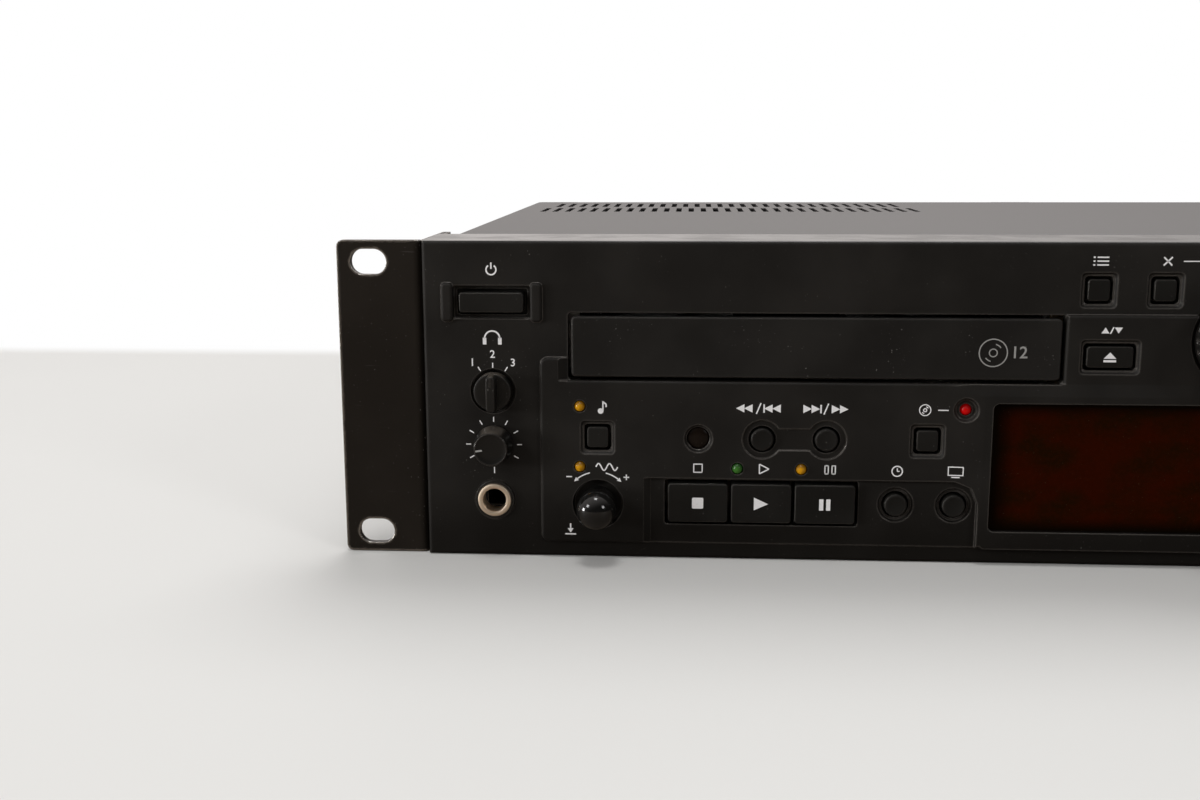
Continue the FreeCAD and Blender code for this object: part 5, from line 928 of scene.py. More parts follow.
class Workpiece:
    """A mesh in the making, drawn in millimetres on the panel's axes."""

    def __init__(self) -> None:
        """Starts with nothing."""
        self.mesh = bmesh.new()

    def skin(self, rings: Sequence[Sequence[Vector]], ends: bool = True) -> None:
        """Joins rings of points into one skin.

        Args:
            rings: Rings with as many points each, or a single point for a pole.
            ends: Whether the first and last ring get a face.
        """
        rows = [[self.mesh.verts.new(p) for p in ring] for ring in rings]
        for low, high in zip(rows, rows[1:]):
            count = max(len(low), len(high))
            for i in range(count):
                j = (i + 1) % count
                around = (low[i % len(low)], low[j % len(low)], high[j % len(high)], high[i % len(high)])
                corners = list(dict.fromkeys(around))
                if len(corners) > 2:
                    self.mesh.faces.new(corners)
        for row in (rows[0], rows[-1]):
            if ends and len(row) > 2:
                self.mesh.faces.new(row)

    def prism(self, outline: Sequence[Point], front: float, back: float) -> None:
        """A prism along Y over an outline of (x, z) points."""
        self.skin([[at(x, y, z) for x, z in outline] for y in (front, back)])

    def block(self, low: Sequence[float], high: Sequence[float]) -> None:
        """A block between two corners."""
        outline = [(low[0], low[2]), (high[0], low[2]), (high[0], high[2]), (low[0], high[2])]
        self.prism(outline, low[1], high[1])

    def turn(
        self, profile: Sequence[Point], centre: Sequence[float], axis: Axis = Axis.Y, steps: int = 48
    ) -> None:
        """A turned solid.

        Args:
            profile: (radius, distance along the axis) points. A radius of 0 is a pole.
            centre: A point on the axis, from which the distances are counted.
            axis: The way that the axis points.
            steps: How many sides the rings have.
        """
        rings = []
        for radius, along in profile:
            ring = []
            for a, b in circle(radius, steps) if radius > 0 else [(0.0, 0.0)]:
                away = (a, along, b) if axis is Axis.Y else (a, b, along)
                ring.append(at(*(c + o for c, o in zip(centre, away))))
            rings.append(ring)
        self.skin(rings, ends=False)

    def tube(self, inner: float, outer: float, front: float, back: float, x: float, z: float) -> None:
        """A tube along Y."""
        profile = [(inner, front), (outer, front), (outer, back), (inner, back), (inner, front)]
        self.turn(profile, (x, 0.0, z))

    def rod(self, radius: float, front: float, back: float, x: float, z: float) -> None:
        """A rod along Y."""
        profile = [(0.0, front), (radius, front), (radius, back), (0.0, back)]
        self.turn(profile, (x, 0.0, z), steps=ROD_SIDES)

    def add(self, made: bpy.types.Mesh, matrix: Matrix) -> None:
        """Adds a copy of a finished mesh, placed by a matrix.

        Args:
            made: The mesh, which is left as it is.
            matrix: Where the copy goes.
        """
        start = len(self.mesh.verts)
        self.mesh.from_mesh(made)
        self.mesh.verts.ensure_lookup_table()
        bmesh.ops.transform(self.mesh, matrix=matrix, verts=self.mesh.verts[start:])

    def closed(self, name: str) -> bpy.types.Mesh:
        """The finished mesh, with every face turned outwards.

        Args:
            name: The mesh's name.

        Returns:
            The mesh data.
        """
        bmesh.ops.recalc_face_normals(self.mesh, faces=self.mesh.faces)
        data = bpy.data.meshes.new(name)
        self.mesh.to_mesh(data)
        self.mesh.free()
        return data

    def done(
        self,
        name: str,
        finish: Finish,
        body: str,
        slot: str,
        replaces: Sequence[str] = (),
        bevel: float = 0.0,
        smooth: float = 32.0,
    ) -> None:
        """Closes the piece: makes its object, dresses it and lets it ride on a body.

        Args:
            name: The piece's name.
            finish: What it is made of.
            body: The body that carries it.
            slot: The record's material slot; not used.
            replaces: The solids that it stands for.
            bevel: How far its edges are rounded, in millimetres.
            smooth: The angle in degrees under which faces shade as one.
        """
        bmesh.ops.remove_doubles(self.mesh, verts=self.mesh.verts, dist=SAME_POINT)
        data = self.closed(name)
        data.shade_smooth()
        data.set_sharp_from_angle(angle=math.radians(smooth))
        data.materials.append(finish.material())
        piece = link(name, data)
        if bevel > 0:
            rounder = piece.modifiers.new("rounded_edges", "BEVEL")
            rounder.width = bevel * MM
            rounder.segments = BEVEL_SEGMENTS
            rounder.limit_method = "ANGLE"
            rounder.angle_limit = math.radians(smooth)
            rounder.harden_normals = True
        if replaces:
            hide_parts(*replaces)
        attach(piece, body)
        LOG.info("%s rides on %s", name, body)


def dress(finish: Finish, *nodes: str) -> None:
    """Gives solids of the frame a finish.

    Args:
        finish: What they are made of.
        nodes: The solids' names.
    """
    for node in nodes:
        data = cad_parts[node].data
        data.materials.clear()
        data.materials.append(finish.material())
        LOG.info("%s has the finish %s", node, finish.name)


# Printed marks ----------------------------------------------------------------------------
STROKE = 0.30
THIN_STROKE = 0.28


class Sheet(Workpiece):
    """Printed marks on one flat face, as ink of a real thickness."""

    sink = 0.02
    arc_step = 12.0
    figure_scale = 1.42
    figure_swell = 0.035

    def __init__(self, face: float, thickness: float = 0.03) -> None:
        """Keeps the face's place along Y and the ink's thickness.

        Args:
            face: The place along Y of the face that carries the ink.
            thickness: How thick the ink is.
        """
        super().__init__()
        self.face = face
        self.front = face - thickness
        self.back = face + self.sink

    def fill(self, outline: Sequence[Point], x: float = 0.0, z: float = 0.0) -> None:
        """A filled outline."""
        self.prism(moved(outline, x, z), self.front, self.back)

    def line(self, start: Point, end: Point, width: float = STROKE) -> None:
        """A straight line with square ends.

        Args:
            start: One end.
            end: The other end.
            width: The line's width.
        """
        dx, dz = end[0] - start[0], end[1] - start[1]
        scale = width / 2 / math.hypot(dx, dz)
        nx, nz = -dz * scale, dx * scale
        corners = [(start[0] + nx, start[1] + nz), (start[0] - nx, start[1] - nz)]
        corners += [(end[0] - nx, end[1] - nz), (end[0] + nx, end[1] + nz)]
        self.fill(corners)

    def path(self, points: Sequence[Point], width: float = STROKE) -> None:
        """A run of straight lines."""
        for start, end in zip(points, points[1:]):
            self.line(start, end, width)

    def frame_of(self, x: float, z: float, width: float, height: float, stroke: float = THIN_STROKE) -> None:
        """A rectangle's outline.

        Args:
            x: The middle along the panel, in millimetres.
            z: The middle's height, in millimetres.
            width: The rectangle's width.
            height: The rectangle's height.
            stroke: The line's width.
        """
        corners = [(-1, -1), (1, -1), (1, 1), (-1, 1), (-1, -1)]
        reach = stroke / 2
        for (ax, az), (bx, bz) in zip(corners, corners[1:]):
            past_x, past_z = reach * (bx - ax) / 2, reach * (bz - az) / 2
            start = (x + ax * width / 2 - past_x, z + az * height / 2 - past_z)
            end = (x + bx * width / 2 + past_x, z + bz * height / 2 + past_z)
            self.line(start, end, stroke)

    def arc(
        self, x: float, z: float, radius: float, start: float, end: float, width: float = STROKE
    ) -> None:
        """An arc.

        Args:
            x: Its centre's place across the panel.
            z: Its centre's height.
            radius: The radius of its middle line.
            start: The angle in degrees where it starts, counted from +X towards +Z.
            end: The angle where it ends.
            width: How wide it is.
        """
        steps = max(4, round(abs(end - start) / self.arc_step))
        turns = [math.radians(start + (end - start) * i / steps) for i in range(steps + 1)]
        inner = [on_circle(x, z, radius - width / 2, turn) for turn in turns]
        outer = [on_circle(x, z, radius + width / 2, turn) for turn in turns]
        for i in range(steps):
            self.fill([inner[i], inner[i + 1], outer[i + 1], outer[i]])

    def ring(self, x: float, z: float, radius: float, width: float = STROKE) -> None:
        """A whole circle."""
        self.arc(x, z, radius, 0, 360, width)

    def spokes(
        self, x: float, z: float, radii: Point, angles: Iterable[float], width: float = STROKE
    ) -> None:
        """Short lines round a knob. The angles are in degrees, clockwise from the top.

        Args:
            x: The knob's middle along the panel.
            z: The knob's height.
            radii: Where each line starts and ends, from the middle.
            angles: One angle for each line.
            width: The line's width.
        """
        for angle in angles:
            s, c = math.sin(math.radians(angle)), math.cos(math.radians(angle))
            start, end = ((x + r * s, z + r * c) for r in radii)
            self.line(start, end, width)

    def settle(self, node: str) -> None:
        """Lays the marks on a solid's front, which may slope under them.

        Args:
            node: The solid that carries the marks.
        """
        solid = bmesh.new()
        solid.from_mesh(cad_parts[node].data)
        tree = BVHTree.FromBMesh(solid)
        solid.free()
        ahead = Vector((0.0, 1.0, 0.0))
        for vert in self.mesh.verts:
            hit = tree.ray_cast(Vector((vert.co.x, 2 * FACE * MM, vert.co.z)), ahead)[0]
            if hit:
                vert.co.y += hit.y - (FACE + self.face) * MM

    def triangle(self, x: float, z: float, width: float, height: float, turn: float = 0.0) -> None:
        """A triangle that points along +X, or turned from there by degrees.

        Args:
            x: The middle along the panel, in millimetres.
            z: The middle's height, in millimetres.
            width: Its length along the way it points.
            height: The length of its back.
            turn: The turn in degrees.
        """
        c, s = math.cos(math.radians(turn)), math.sin(math.radians(turn))
        corners = ((-width / 2, -height / 2), (width / 2, 0.0), (-width / 2, height / 2))
        self.fill([(cx * c - cz * s, cx * s + cz * c) for cx, cz in corners], x, z)

    def bar(self, x: float, z: float, width: float, height: float) -> None:
        """A filled bar or block."""
        self.fill(rounded(width, height, min(width, height) * 0.08, 1), x, z)

    def digits(self, text: str, x: float, z: float, height: float) -> None:
        """Plain numerals, centred on a point.

        Args:
            text: The numerals.
            x: Their middle across the panel.
            z: Their middle height.
            height: How tall they stand.
        """
        curve = bpy.data.curves.new("numerals", "FONT")
        curve.body = text
        curve.align_x = "CENTER"
        curve.align_y = "CENTER"
        curve.size = height * self.figure_scale
        curve.extrude = (self.back - self.front) / 2
        curve.resolution_u = 3
        curve.offset = self.figure_swell
        holder = link("numerals", curve)
        bpy.context.view_layer.update()
        made = bpy.data.meshes.new_from_object(holder)
        place = Matrix.Translation(at(x, (self.front + self.back) / 2, z))
        self.add(made, place @ Matrix.Rotation(math.radians(90), 4, "X") @ Matrix.Scale(MM, 4))
        bpy.data.objects.remove(holder)
        bpy.data.meshes.remove(made)
        bpy.data.curves.remove(curve)


@dataclass
class PanelPrint:
    """The symbols and scale marks printed on the panel, the tray's front and beside the slot."""

    block: float = -1.6
    tray_face: float = -1.0
    slot_face: float = 0.6
    scale_radii: Point = (6.5, 7.9)
    scale_angles: tuple[int, ...] = (-31, 0, 31)
    level_radii: Point = (6.4, 7.8)
    level_angles: Sequence[int] = range(-120, 121, 30)
    column_drop: float = 7.3
    tick: float = 0.9
    bold: float = 0.42
    fine: float = 0.34
    power_z: float = 80.2
    phones_z: float = 62.0
    side_number_z: float = 54.7
    top_number_z: float = 57.0
    number_height: float = 2.1
    ramp_z: float = 59.2
    menu_z: float = 83.0
    skip_z: float = 43.0
    key_z: float = 26.15
    info_z: float = 26.0
    sign_z: float = 23.3
    pitch_radius: float = 9.1
    sign_reach: float = 7.9
    push_mark: Point = (-177.1, 8.0)
    eject_z: float = 64.9
    disc_z: float = 58.6
    cartridge_z: float = 58.8

    def base_left(self) -> None:
        """The base face's marks at the left: power, phones, selector and level scales."""
        sheet = Sheet(0.0)
        x, z = spot("power_button").x, self.power_z
        sheet.arc(x, z, 1.35, 125, 415, self.bold)
        sheet.line((x, z + 0.2), (x, z + 1.95), self.bold)
        z = self.phones_z
        sheet.arc(x, z - 0.6, 2.1, 0, 180, 0.44)
        for side in (-1, 1):
            sheet.bar(x + side * 2.1, z - 1.3, 1.0, 1.9)
        sheet.spokes(x, spot("phones_selector_knob").z, self.scale_radii, self.scale_angles)
        sheet.digits("1", x - 5.6, self.side_number_z, self.number_height)
        sheet.digits("2", x, self.top_number_z, self.number_height)
        sheet.digits("3", x + 5.6, self.side_number_z, self.number_height)
        level = spot("phones_level_knob").z
        sheet.spokes(x, level, self.level_radii, self.level_angles)
        low = level - self.column_drop
        sheet.line((x, low + self.tick), (x, low - self.tick))
        sheet.done("print_left_column", WHITE_INK, "case", "panel")

    def base_right(self) -> None:
        """The base face's marks at the right: input level scales and the keyboard socket."""
        sheet = Sheet(0.0)
        for i, node in enumerate(("input_left_knob", "input_right_knob")):
            knob = spot(node)
            sheet.spokes(knob.x, knob.z, self.level_radii, self.level_angles)
            sheet.digits(str(i + 1), knob.x + 9.3, knob.z - 4.6, self.number_height)
        ramp = [(-2.6, -0.9), (2.6, 0.9), (2.6, -0.9)]
        sheet.fill(ramp, spot("input_left_knob").x, self.ramp_z)
        socket = spot("keyboard_socket")
        z = socket.z + 8.4
        sheet.frame_of(socket.x, z, 5.6, 2.6)
        for column in range(4):
            sheet.bar(socket.x - 1.65 + column * 1.1, z + 0.45, 0.5, 0.45)
        sheet.bar(socket.x, z - 0.5, 2.6, self.bold)
        sheet.done("print_right_column", WHITE_INK, "case", "panel")

    def menu_list(self, sheet: Sheet, x: float, z: float) -> None:
        """A list with three lines.

        Args:
            sheet: The sheet of marks to add to.
            x: The middle along the panel, in millimetres.
            z: The middle's height, in millimetres.
        """
        for row in (-1, 0, 1):
            sheet.bar(x - 1.75, z + row, 0.5, self.bold)
            sheet.line((x - 1.0, z + row), (x + 2.0, z + row), 0.38)

    def base_middle(self) -> None:
        """The base face's marks above the menu and answer buttons."""
        sheet = Sheet(0.0)
        z = self.menu_z
        for node in ("cd_menu_button", "md_menu_button"):
            self.menu_list(sheet, spot(node).x, z)
        x = spot("no_button").x
        for slant in (-1, 1):
            sheet.line((x - 1.1, z - slant * 1.1), (x + 1.1, z + slant * 1.1), self.bold)
        sheet.line((x + 4.0, z), (x + 8.2, z))
        x = spot("yes_button").x
        sheet.path([(x - 1.4, z), (x - 0.4, z - 1.1), (x + 1.5, z + 1.2)], self.bold)
        sheet.line((x - 4.0, z), (x - 8.2, z))
        sheet.done("print_menu_row", WHITE_INK, "case", "panel")

    def disc(self, sheet: Sheet, x: float, z: float, radius: float, stroke: float = THIN_STROKE) -> None:
        """A disc seen from above.

        Args:
            sheet: The sheet of marks to add to.
            x: The middle along the panel, in millimetres.
            z: The middle's height, in millimetres.
            radius: The disc's radius.
            stroke: The line's width.
        """
        sheet.ring(x, z, radius, stroke)
        sheet.ring(x, z, radius * 0.28, stroke)
        for start in (35, 215):
            sheet.arc(x, z, radius * 0.64, start, start + 40, stroke)

    def cartridge(self, sheet: Sheet, x: float, z: float, size: float) -> None:
        """A disc in a square cartridge."""
        sheet.frame_of(x, z, size, size)
        sheet.ring(x, z, size * 0.3, self.fine)

    def skip(self, sheet: Sheet, x: float, z: float, way: int) -> None:
        """The search and skip marks: double triangles, a slash and double triangles with a bar.

        Args:
            sheet: The sheet to print on.
            x: The marks' middle across the panel.
            z: The marks' height.
            way: 1 for forward and -1 for back.
        """
        turn = 0.0 if way > 0 else 180.0
        for step in (-5.7, -3.5, 1.9, 4.1):
            sheet.triangle(x + step, z, 2.3, 2.3, turn)
        sheet.line((x - 1.3, z - 1.5), (x - 0.1, z + 1.5), 0.36)
        bar = x - 2.1 if way > 0 else x + 0.75
        sheet.line((bar, z - 1.15), (bar, z + 1.15), self.bold)

    def key_marks(self, sheet: Sheet, side: str) -> None:
        """The stop, play and ready outlines above one set of transport keys.

        Args:
            sheet: The sheet of marks to add to.
            side: cd or md, the side that the keys belong to.
        """
        z = self.key_z
        stop, play, ready = (spot(f"{side}_{name}_button").x for name in ("stop", "play", "ready"))
        sheet.frame_of(stop, z, 2.3, 2.3)
        corners = [(-1.2, -1.35), (1.4, 0.0), (-1.2, 1.35), (-1.2, -1.35)]
        sheet.path([(play + 0.6 + cx, z + cz) for cx, cz in corners], self.fine)
        for shift in (-0.95, 0.95):
            sheet.frame_of(ready + 1.2 + shift, z, 0.9, 2.3, 0.3)

    def pitch_marks(self, sheet: Sheet) -> None:
        """The marks round the pitch knob and its two lamps, and the push mark below.

        Args:
            sheet: The sheet of marks to add to.
        """
        knob = spot("pitch_knob")
        x, z = knob.x + 1.6, self.skip_z
        stem = x - 0.12
        sheet.fill(circle(0.78, 16), x - 0.75, z - 1.15)
        sheet.line((stem, z - 1.1), (stem, z + 1.6), 0.36)
        sheet.path([(stem, z + 1.45), (x + 0.75, z + 0.75), (x + 0.75, z - 0.05)], 0.4)
        beats = [t / 12 for t in range(-12, 13)]
        wave = [(knob.x + 2.5 + 3.0 * t, self.key_z + math.sin(2 * math.pi * t)) for t in beats]
        sheet.path(wave, 0.38)
        z = self.sign_z
        for side in (-1, 1):
            centre = 90 - side * 27
            sheet.arc(knob.x, knob.z, self.pitch_radius, centre - side * 13, centre + side * 13, 0.36)
            a = math.radians(centre - side * 15)
            tip = on_circle(knob.x, knob.z, self.pitch_radius, a)
            sheet.triangle(*tip, 1.2, 1.2, math.degrees(a) - side * 90)
            end = knob.x + side * self.sign_reach
            sheet.line((end - 0.8, z), (end + 0.8, z), self.fine)
        plus = knob.x + self.sign_reach
        sheet.line((plus, z - 0.8), (plus, z + 0.8), self.fine)
        x, z = self.push_mark
        sheet.line((x, z + 1.9), (x, z + 0.4), 0.4)
        sheet.triangle(x, z - 0.1, 1.3, 1.7, -90)
        sheet.line((x - 1.5, z - 1.1), (x + 1.5, z - 1.1), 0.38)

    def info_marks(self, sheet: Sheet) -> None:
        """The clock and screen above the two round buttons.

        Args:
            sheet: The sheet of marks to add to.
        """
        z = self.info_z
        x = spot("time_button").x
        sheet.ring(x, z, 1.4, self.fine)
        sheet.path([(x, z + 0.85), (x, z), (x + 0.65, z)], 0.3)
        x = spot("display_button").x
        sheet.frame_of(x, z + 0.25, 3.9, 2.3)
        sheet.line((x - 1.1, z - 1.45), (x + 1.1, z - 1.45), self.fine)

    def block_marks(self) -> None:
        """The marks on the raised block."""
        sheet = Sheet(self.block)
        self.pitch_marks(sheet)
        z = self.skip_z
        self.skip(sheet, spot("cd_skip_back_button").x - 0.4, z, -1)
        self.skip(sheet, spot("cd_skip_forward_button").x + 0.4, z, 1)
        for side in ("cd", "md"):
            self.key_marks(sheet, side)
        self.info_marks(sheet)
        left, right = spot("cd_select_button").x, spot("md_select_button").x
        self.disc(sheet, left - 1.0, z, 1.5)
        self.cartridge(sheet, right + 1.0, z, 2.8)
        for x, sign in ((left, 1), (right, -1)):
            sheet.path([(x + sign * reach, z) for reach in (2.4, 3.3, 4.2, 5.2)])
        sheet.ring(spot("record_button").x, self.info_z, 1.2, 0.5)
        z = self.eject_z
        for node in ("open_close_button", "md_eject_button"):
            x = spot(node).x
            for side in (-1, 1):
                sheet.triangle(x + side * 1.7, z, 1.6, 2.1, -side * 90)
            sheet.line((x - 0.4, z - 0.9), (x + 0.4, z + 0.9), self.fine)
        sheet.settle("front_bezel")
        sheet.done("print_block", WHITE_INK, "case", "panel")

    def drive_marks(self) -> None:
        """The disc on the tray's front and the cartridge beside the slot."""
        sheet = Sheet(self.tray_face)
        right = spot("cd_tray_front").high[0]
        self.disc(sheet, right - 17.8, self.disc_z, 3.7, 0.3)
        sheet.digits("12", right - 11.0, self.disc_z, 3.2)
        sheet.done("print_tray", GREY_INK, "cd_tray", "panel")
        sheet = Sheet(self.slot_face)
        self.cartridge(sheet, spot("md_slot_door").high[0] + 8.0, self.cartridge_z, 4.6)
        sheet.done("print_slot", GREY_INK, "case", "panel")

    def build(self) -> None:
        """Prints every sheet."""
        self.base_left()
        self.base_right()
        self.base_middle()
        self.block_marks()
        self.drive_marks()


# Case ---------------------------------------------------------------------------------------
@dataclass
class Case:
    """The bezel, ears, cover, chassis and rear panel, with the screws that hold them."""

    head_height: float = 1.6
    head_radius: float = 3.2
    shank_radius: float = 1.5
    shank: float = 5.0
    slot_reach: float = 1.9
    slot_width: float = 0.8
    slot_depth: float = 0.95
    screw_turn: float = 0.7
    screw_sides: int = 32

    def dress(self) -> None:
        """Finishes the solids that keep their shape."""
        dress(PANEL, "front_bezel")
        dress(EAR_PAINT, "rack_ear_left", "rack_ear_right")
        dress(COVER_PAINT, "top_cover")
        dress(REAR_PAINT, "rear_panel")
        dress(ZINC, "bottom_chassis")

    def screw(self) -> bpy.types.Mesh:
        """One domed screw with a cross recess, its seat at the origin and its head along +Z.

        Returns:
            The mesh data.
        """
        top, wide = self.head_height, self.head_radius
        turns = [math.radians(a) for a in range(20, 90, 14)]
        dome = [(wide * math.cos(a), top * math.sin(a)) for a in turns]
        shank = [(0.0, -self.shank), (self.shank_radius, -self.shank), (self.shank_radius, 0.0)]
        head = self.loose([*shank, (wide, 0.0), *dome, (0.0, top)])
        cross = bmesh.new()
        low, high = top - self.slot_depth, top + 1.0
        for turn in (0.0, 90.0):
            outline = rounded(self.slot_reach * 2, self.slot_width, 0.1, 1)
            spin = Matrix.Rotation(math.radians(turn), 4, "Z")
            rows = []
            for z, share in ((low, 0.6), (high, 1.15)):
                rows.append([cross.verts.new(spin @ Vector((x * share, y, z)) * MM) for x, y in outline])
            for i in range(len(outline)):
                j = (i + 1) % len(outline)
                cross.faces.new((rows[0][i], rows[0][j], rows[1][j], rows[1][i]))
            cross.faces.new(rows[0][::-1])
            cross.faces.new(rows[1])
        tool = bpy.data.meshes.new("screw_cross")
        cross.to_mesh(tool)
        cross.free()
        return self.cut(head, tool)

    def loose(self, profile: Sequence[Point]) -> bpy.types.Mesh:
        """A turned mesh about the frame's own Z axis.

        Args:
            profile: The outline, as radius and height.

        Returns:
            The mesh data.
        """
        work = Workpiece()
        work.turn(profile, (0.0, -FACE, 0.0), Axis.Z, self.screw_sides)
        return work.closed("screw_head")

    def cut(self, solid: bpy.types.Mesh, tool: bpy.types.Mesh) -> bpy.types.Mesh:
        """One mesh less another.

        Args:
            solid: The mesh that is kept.
            tool: The mesh that is taken away.

        Returns:
            The mesh data.
        """
        pair = [link(mesh.name, mesh) for mesh in (solid, tool)]
        cutter = pair[0].modifiers.new("recess", "BOOLEAN")
        cutter.operation = "DIFFERENCE"
        cutter.solver = "EXACT"
        cutter.use_self = True
        cutter.object = pair[1]
        bpy.context.view_layer.update()
        graph = bpy.context.evaluated_depsgraph_get()
        made = bpy.data.meshes.new_from_object(pair[0].evaluated_get(graph))
        for part in pair:
            bpy.data.objects.remove(part)
        return made

    def screws(self) -> None:
        """Puts a screw where each of the frame's screws is."""
        pattern = self.screw()
        work = Workpiece()
        for i, place in enumerate(islands("screws")):
            low, high = place.low, place.high
            sizes = [b - a for a, b in zip(low, high)]
            axis = max(range(3), key=lambda n: abs(sizes[n] - 2 * self.head_radius))
            middle = [(a + b) / 2 for a, b in zip(low, high)]
            sign = -1.0 if axis == 0 and middle[0] < 0 else 1.0
            end = high[axis] if sign > 0 else low[axis]
            middle[axis] = end - sign * self.head_height
            way = Vector([sign if n == axis else 0.0 for n in range(3)])
            tilt = Vector((0, 0, 1)).rotation_difference(way).to_matrix().to_4x4()
            spin = Matrix.Rotation(self.screw_turn * i, 4, "Z")
            work.add(pattern, Matrix.Translation(at(*middle)) @ tilt @ spin)
        work.done("case_screws", SCREW_BLACK, "case", "screw_black", ["screws"], smooth=40)
        bpy.data.meshes.remove(pattern)

    def build(self) -> None:
        """Finishes the case and sets its screws."""
        self.dress()
        self.screws()


# Push buttons -------------------------------------------------------------------------------
class CapShape(Enum):
    """The outlines that flat caps have."""

    SQUARE = "square"
    KEY = "key"


@dataclass
class Buttons:
    """Every push button: its cap, the flange behind the panel and the stem to its switch."""

    shelf: float = 3.3
    flange: float = 1.4
    lip: float = 1.0
    key_lip: float = 1.9
    inset: float = 0.4
    corner: float = 0.9
    cap_bevel: float = 0.42
    roll: float = 0.5
    stem: float = 1.4
    hollow: float = 0.22
    stop_size: float = 3.1
    play_size: Point = (3.9, 3.6)
    ready_bar: Point = (1.15, 3.2)
    ready_shift: float = 0.95
    eject_arrow: Point = (1.7, 3.3)
    eject_bar: Point = (3.3, 0.6)
    arrow_rise: float = 0.45
    bar_drop: float = 1.05
    record_dot: float = 1.0
    squares: tuple[str, ...] = ("key", "cd_select", "md_select", "cd_menu", "md_menu", "no", "yes")
    oblongs: tuple[str, ...] = ("open_close", "md_eject", "power")
    rounds: tuple[str, ...] = ("cd_skip_back", "cd_skip_forward", "time", "display", "record")
    keys: tuple[str, ...] = ("cd_stop", "cd_play", "cd_ready", "md_stop", "md_play", "md_ready")

    def flat_cap(self, node: str, shape: CapShape) -> None:
        """A square, oblong or transport cap with rounded edges.

        Args:
            node: The solid that it stands for.
            shape: Its outline.
        """
        place = spot(node)
        is_key = shape is CapShape.KEY
        side = 0.0 if is_key else self.lip + self.inset
        rise = self.key_lip if is_key else self.lip + self.inset
        cap = rounded(place.width - 2 * side, place.height - 2 * rise, self.corner)
        flange = rounded(place.width, place.height, self.corner)
        foot = self.shelf + self.flange
        work = Workpiece()
        work.prism(moved(cap, place.x, place.z), place.front, self.shelf)
        work.prism(moved(flange, place.x, place.z), self.shelf, foot)
        work.rod(self.stem, foot, place.back, place.x, place.z)
        work.done(node + "_cap", KEY_CAP, node, "key_black", [node], self.cap_bevel)

    def round_cap(self, node: str) -> None:
        """A round cap with a rolled rim and a slightly hollow face.

        Args:
            node: The button's node.
        """
        place = spot(node)
        front, wide, foot = place.front, place.width / 2, self.shelf + self.flange
        r = wide - self.lip - self.inset / 2
        face = [(0.0, front + self.hollow), (r * 0.45, front + self.hollow * 0.75)]
        face += [(r * 0.75, front + self.hollow * 0.2)]
        rim = quarter_round(r - self.roll, front, self.roll, self.roll, 5)
        back = [(r, self.shelf), (wide, self.shelf), (wide, foot)]
        stem = [(self.stem, foot), (self.stem, place.back), (0.0, place.back)]
        work = Workpiece()
        work.turn(face + rim + back + stem, (place.x, 0.0, place.z))
        work.done(node + "_cap", KEY_CAP, node, "key_black", [node])

    def key_symbols(self, side: str) -> None:
        """The stop, play and ready symbols on one side's transport keys.

        Args:
            side: cd or md, the side that the keys belong to.
        """
        for name in ("stop", "play", "ready"):
            node = f"{side}_{name}_button"
            place = spot(node)
            sheet = Sheet(place.front)
            if name == "stop":
                sheet.bar(place.x, place.z, self.stop_size, self.stop_size)
            elif name == "play":
                sheet.triangle(place.x, place.z, *self.play_size)
            else:
                for way in (-1, 1):
                    sheet.bar(place.x + way * self.ready_shift, place.z, *self.ready_bar)
            sheet.done(node + "_symbol", WHITE_INK, node, "key_black")

    def eject_symbols(self) -> None:
        """The eject symbols on the two wide buttons and the red dot on the record button."""
        for node in ("open_close_button", "md_eject_button"):
            place = spot(node)
            sheet = Sheet(place.front)
            sheet.triangle(place.x, place.z + self.arrow_rise, *self.eject_arrow, 90)
            sheet.bar(place.x, place.z - self.bar_drop, *self.eject_bar)
            sheet.done(node + "_symbol", WHITE_INK, node, "key_black")
        place = spot("record_button")
        sheet = Sheet(place.front + self.hollow)
        sheet.fill(circle(self.record_dot, 24), place.x, place.z)
        sheet.done("record_button_dot", RED_INSERT, "record_button", "lamp_red")

    def build(self) -> None:
        """Makes every button and its symbol."""
        for name in self.squares + self.oblongs:
            self.flat_cap(name + "_button", CapShape.SQUARE)
        for name in self.keys:
            self.flat_cap(name + "_button", CapShape.KEY)
        for name in self.rounds:
            self.round_cap(name + "_button")
        self.key_symbols("cd")
        self.key_symbols("md")
        self.eject_symbols()


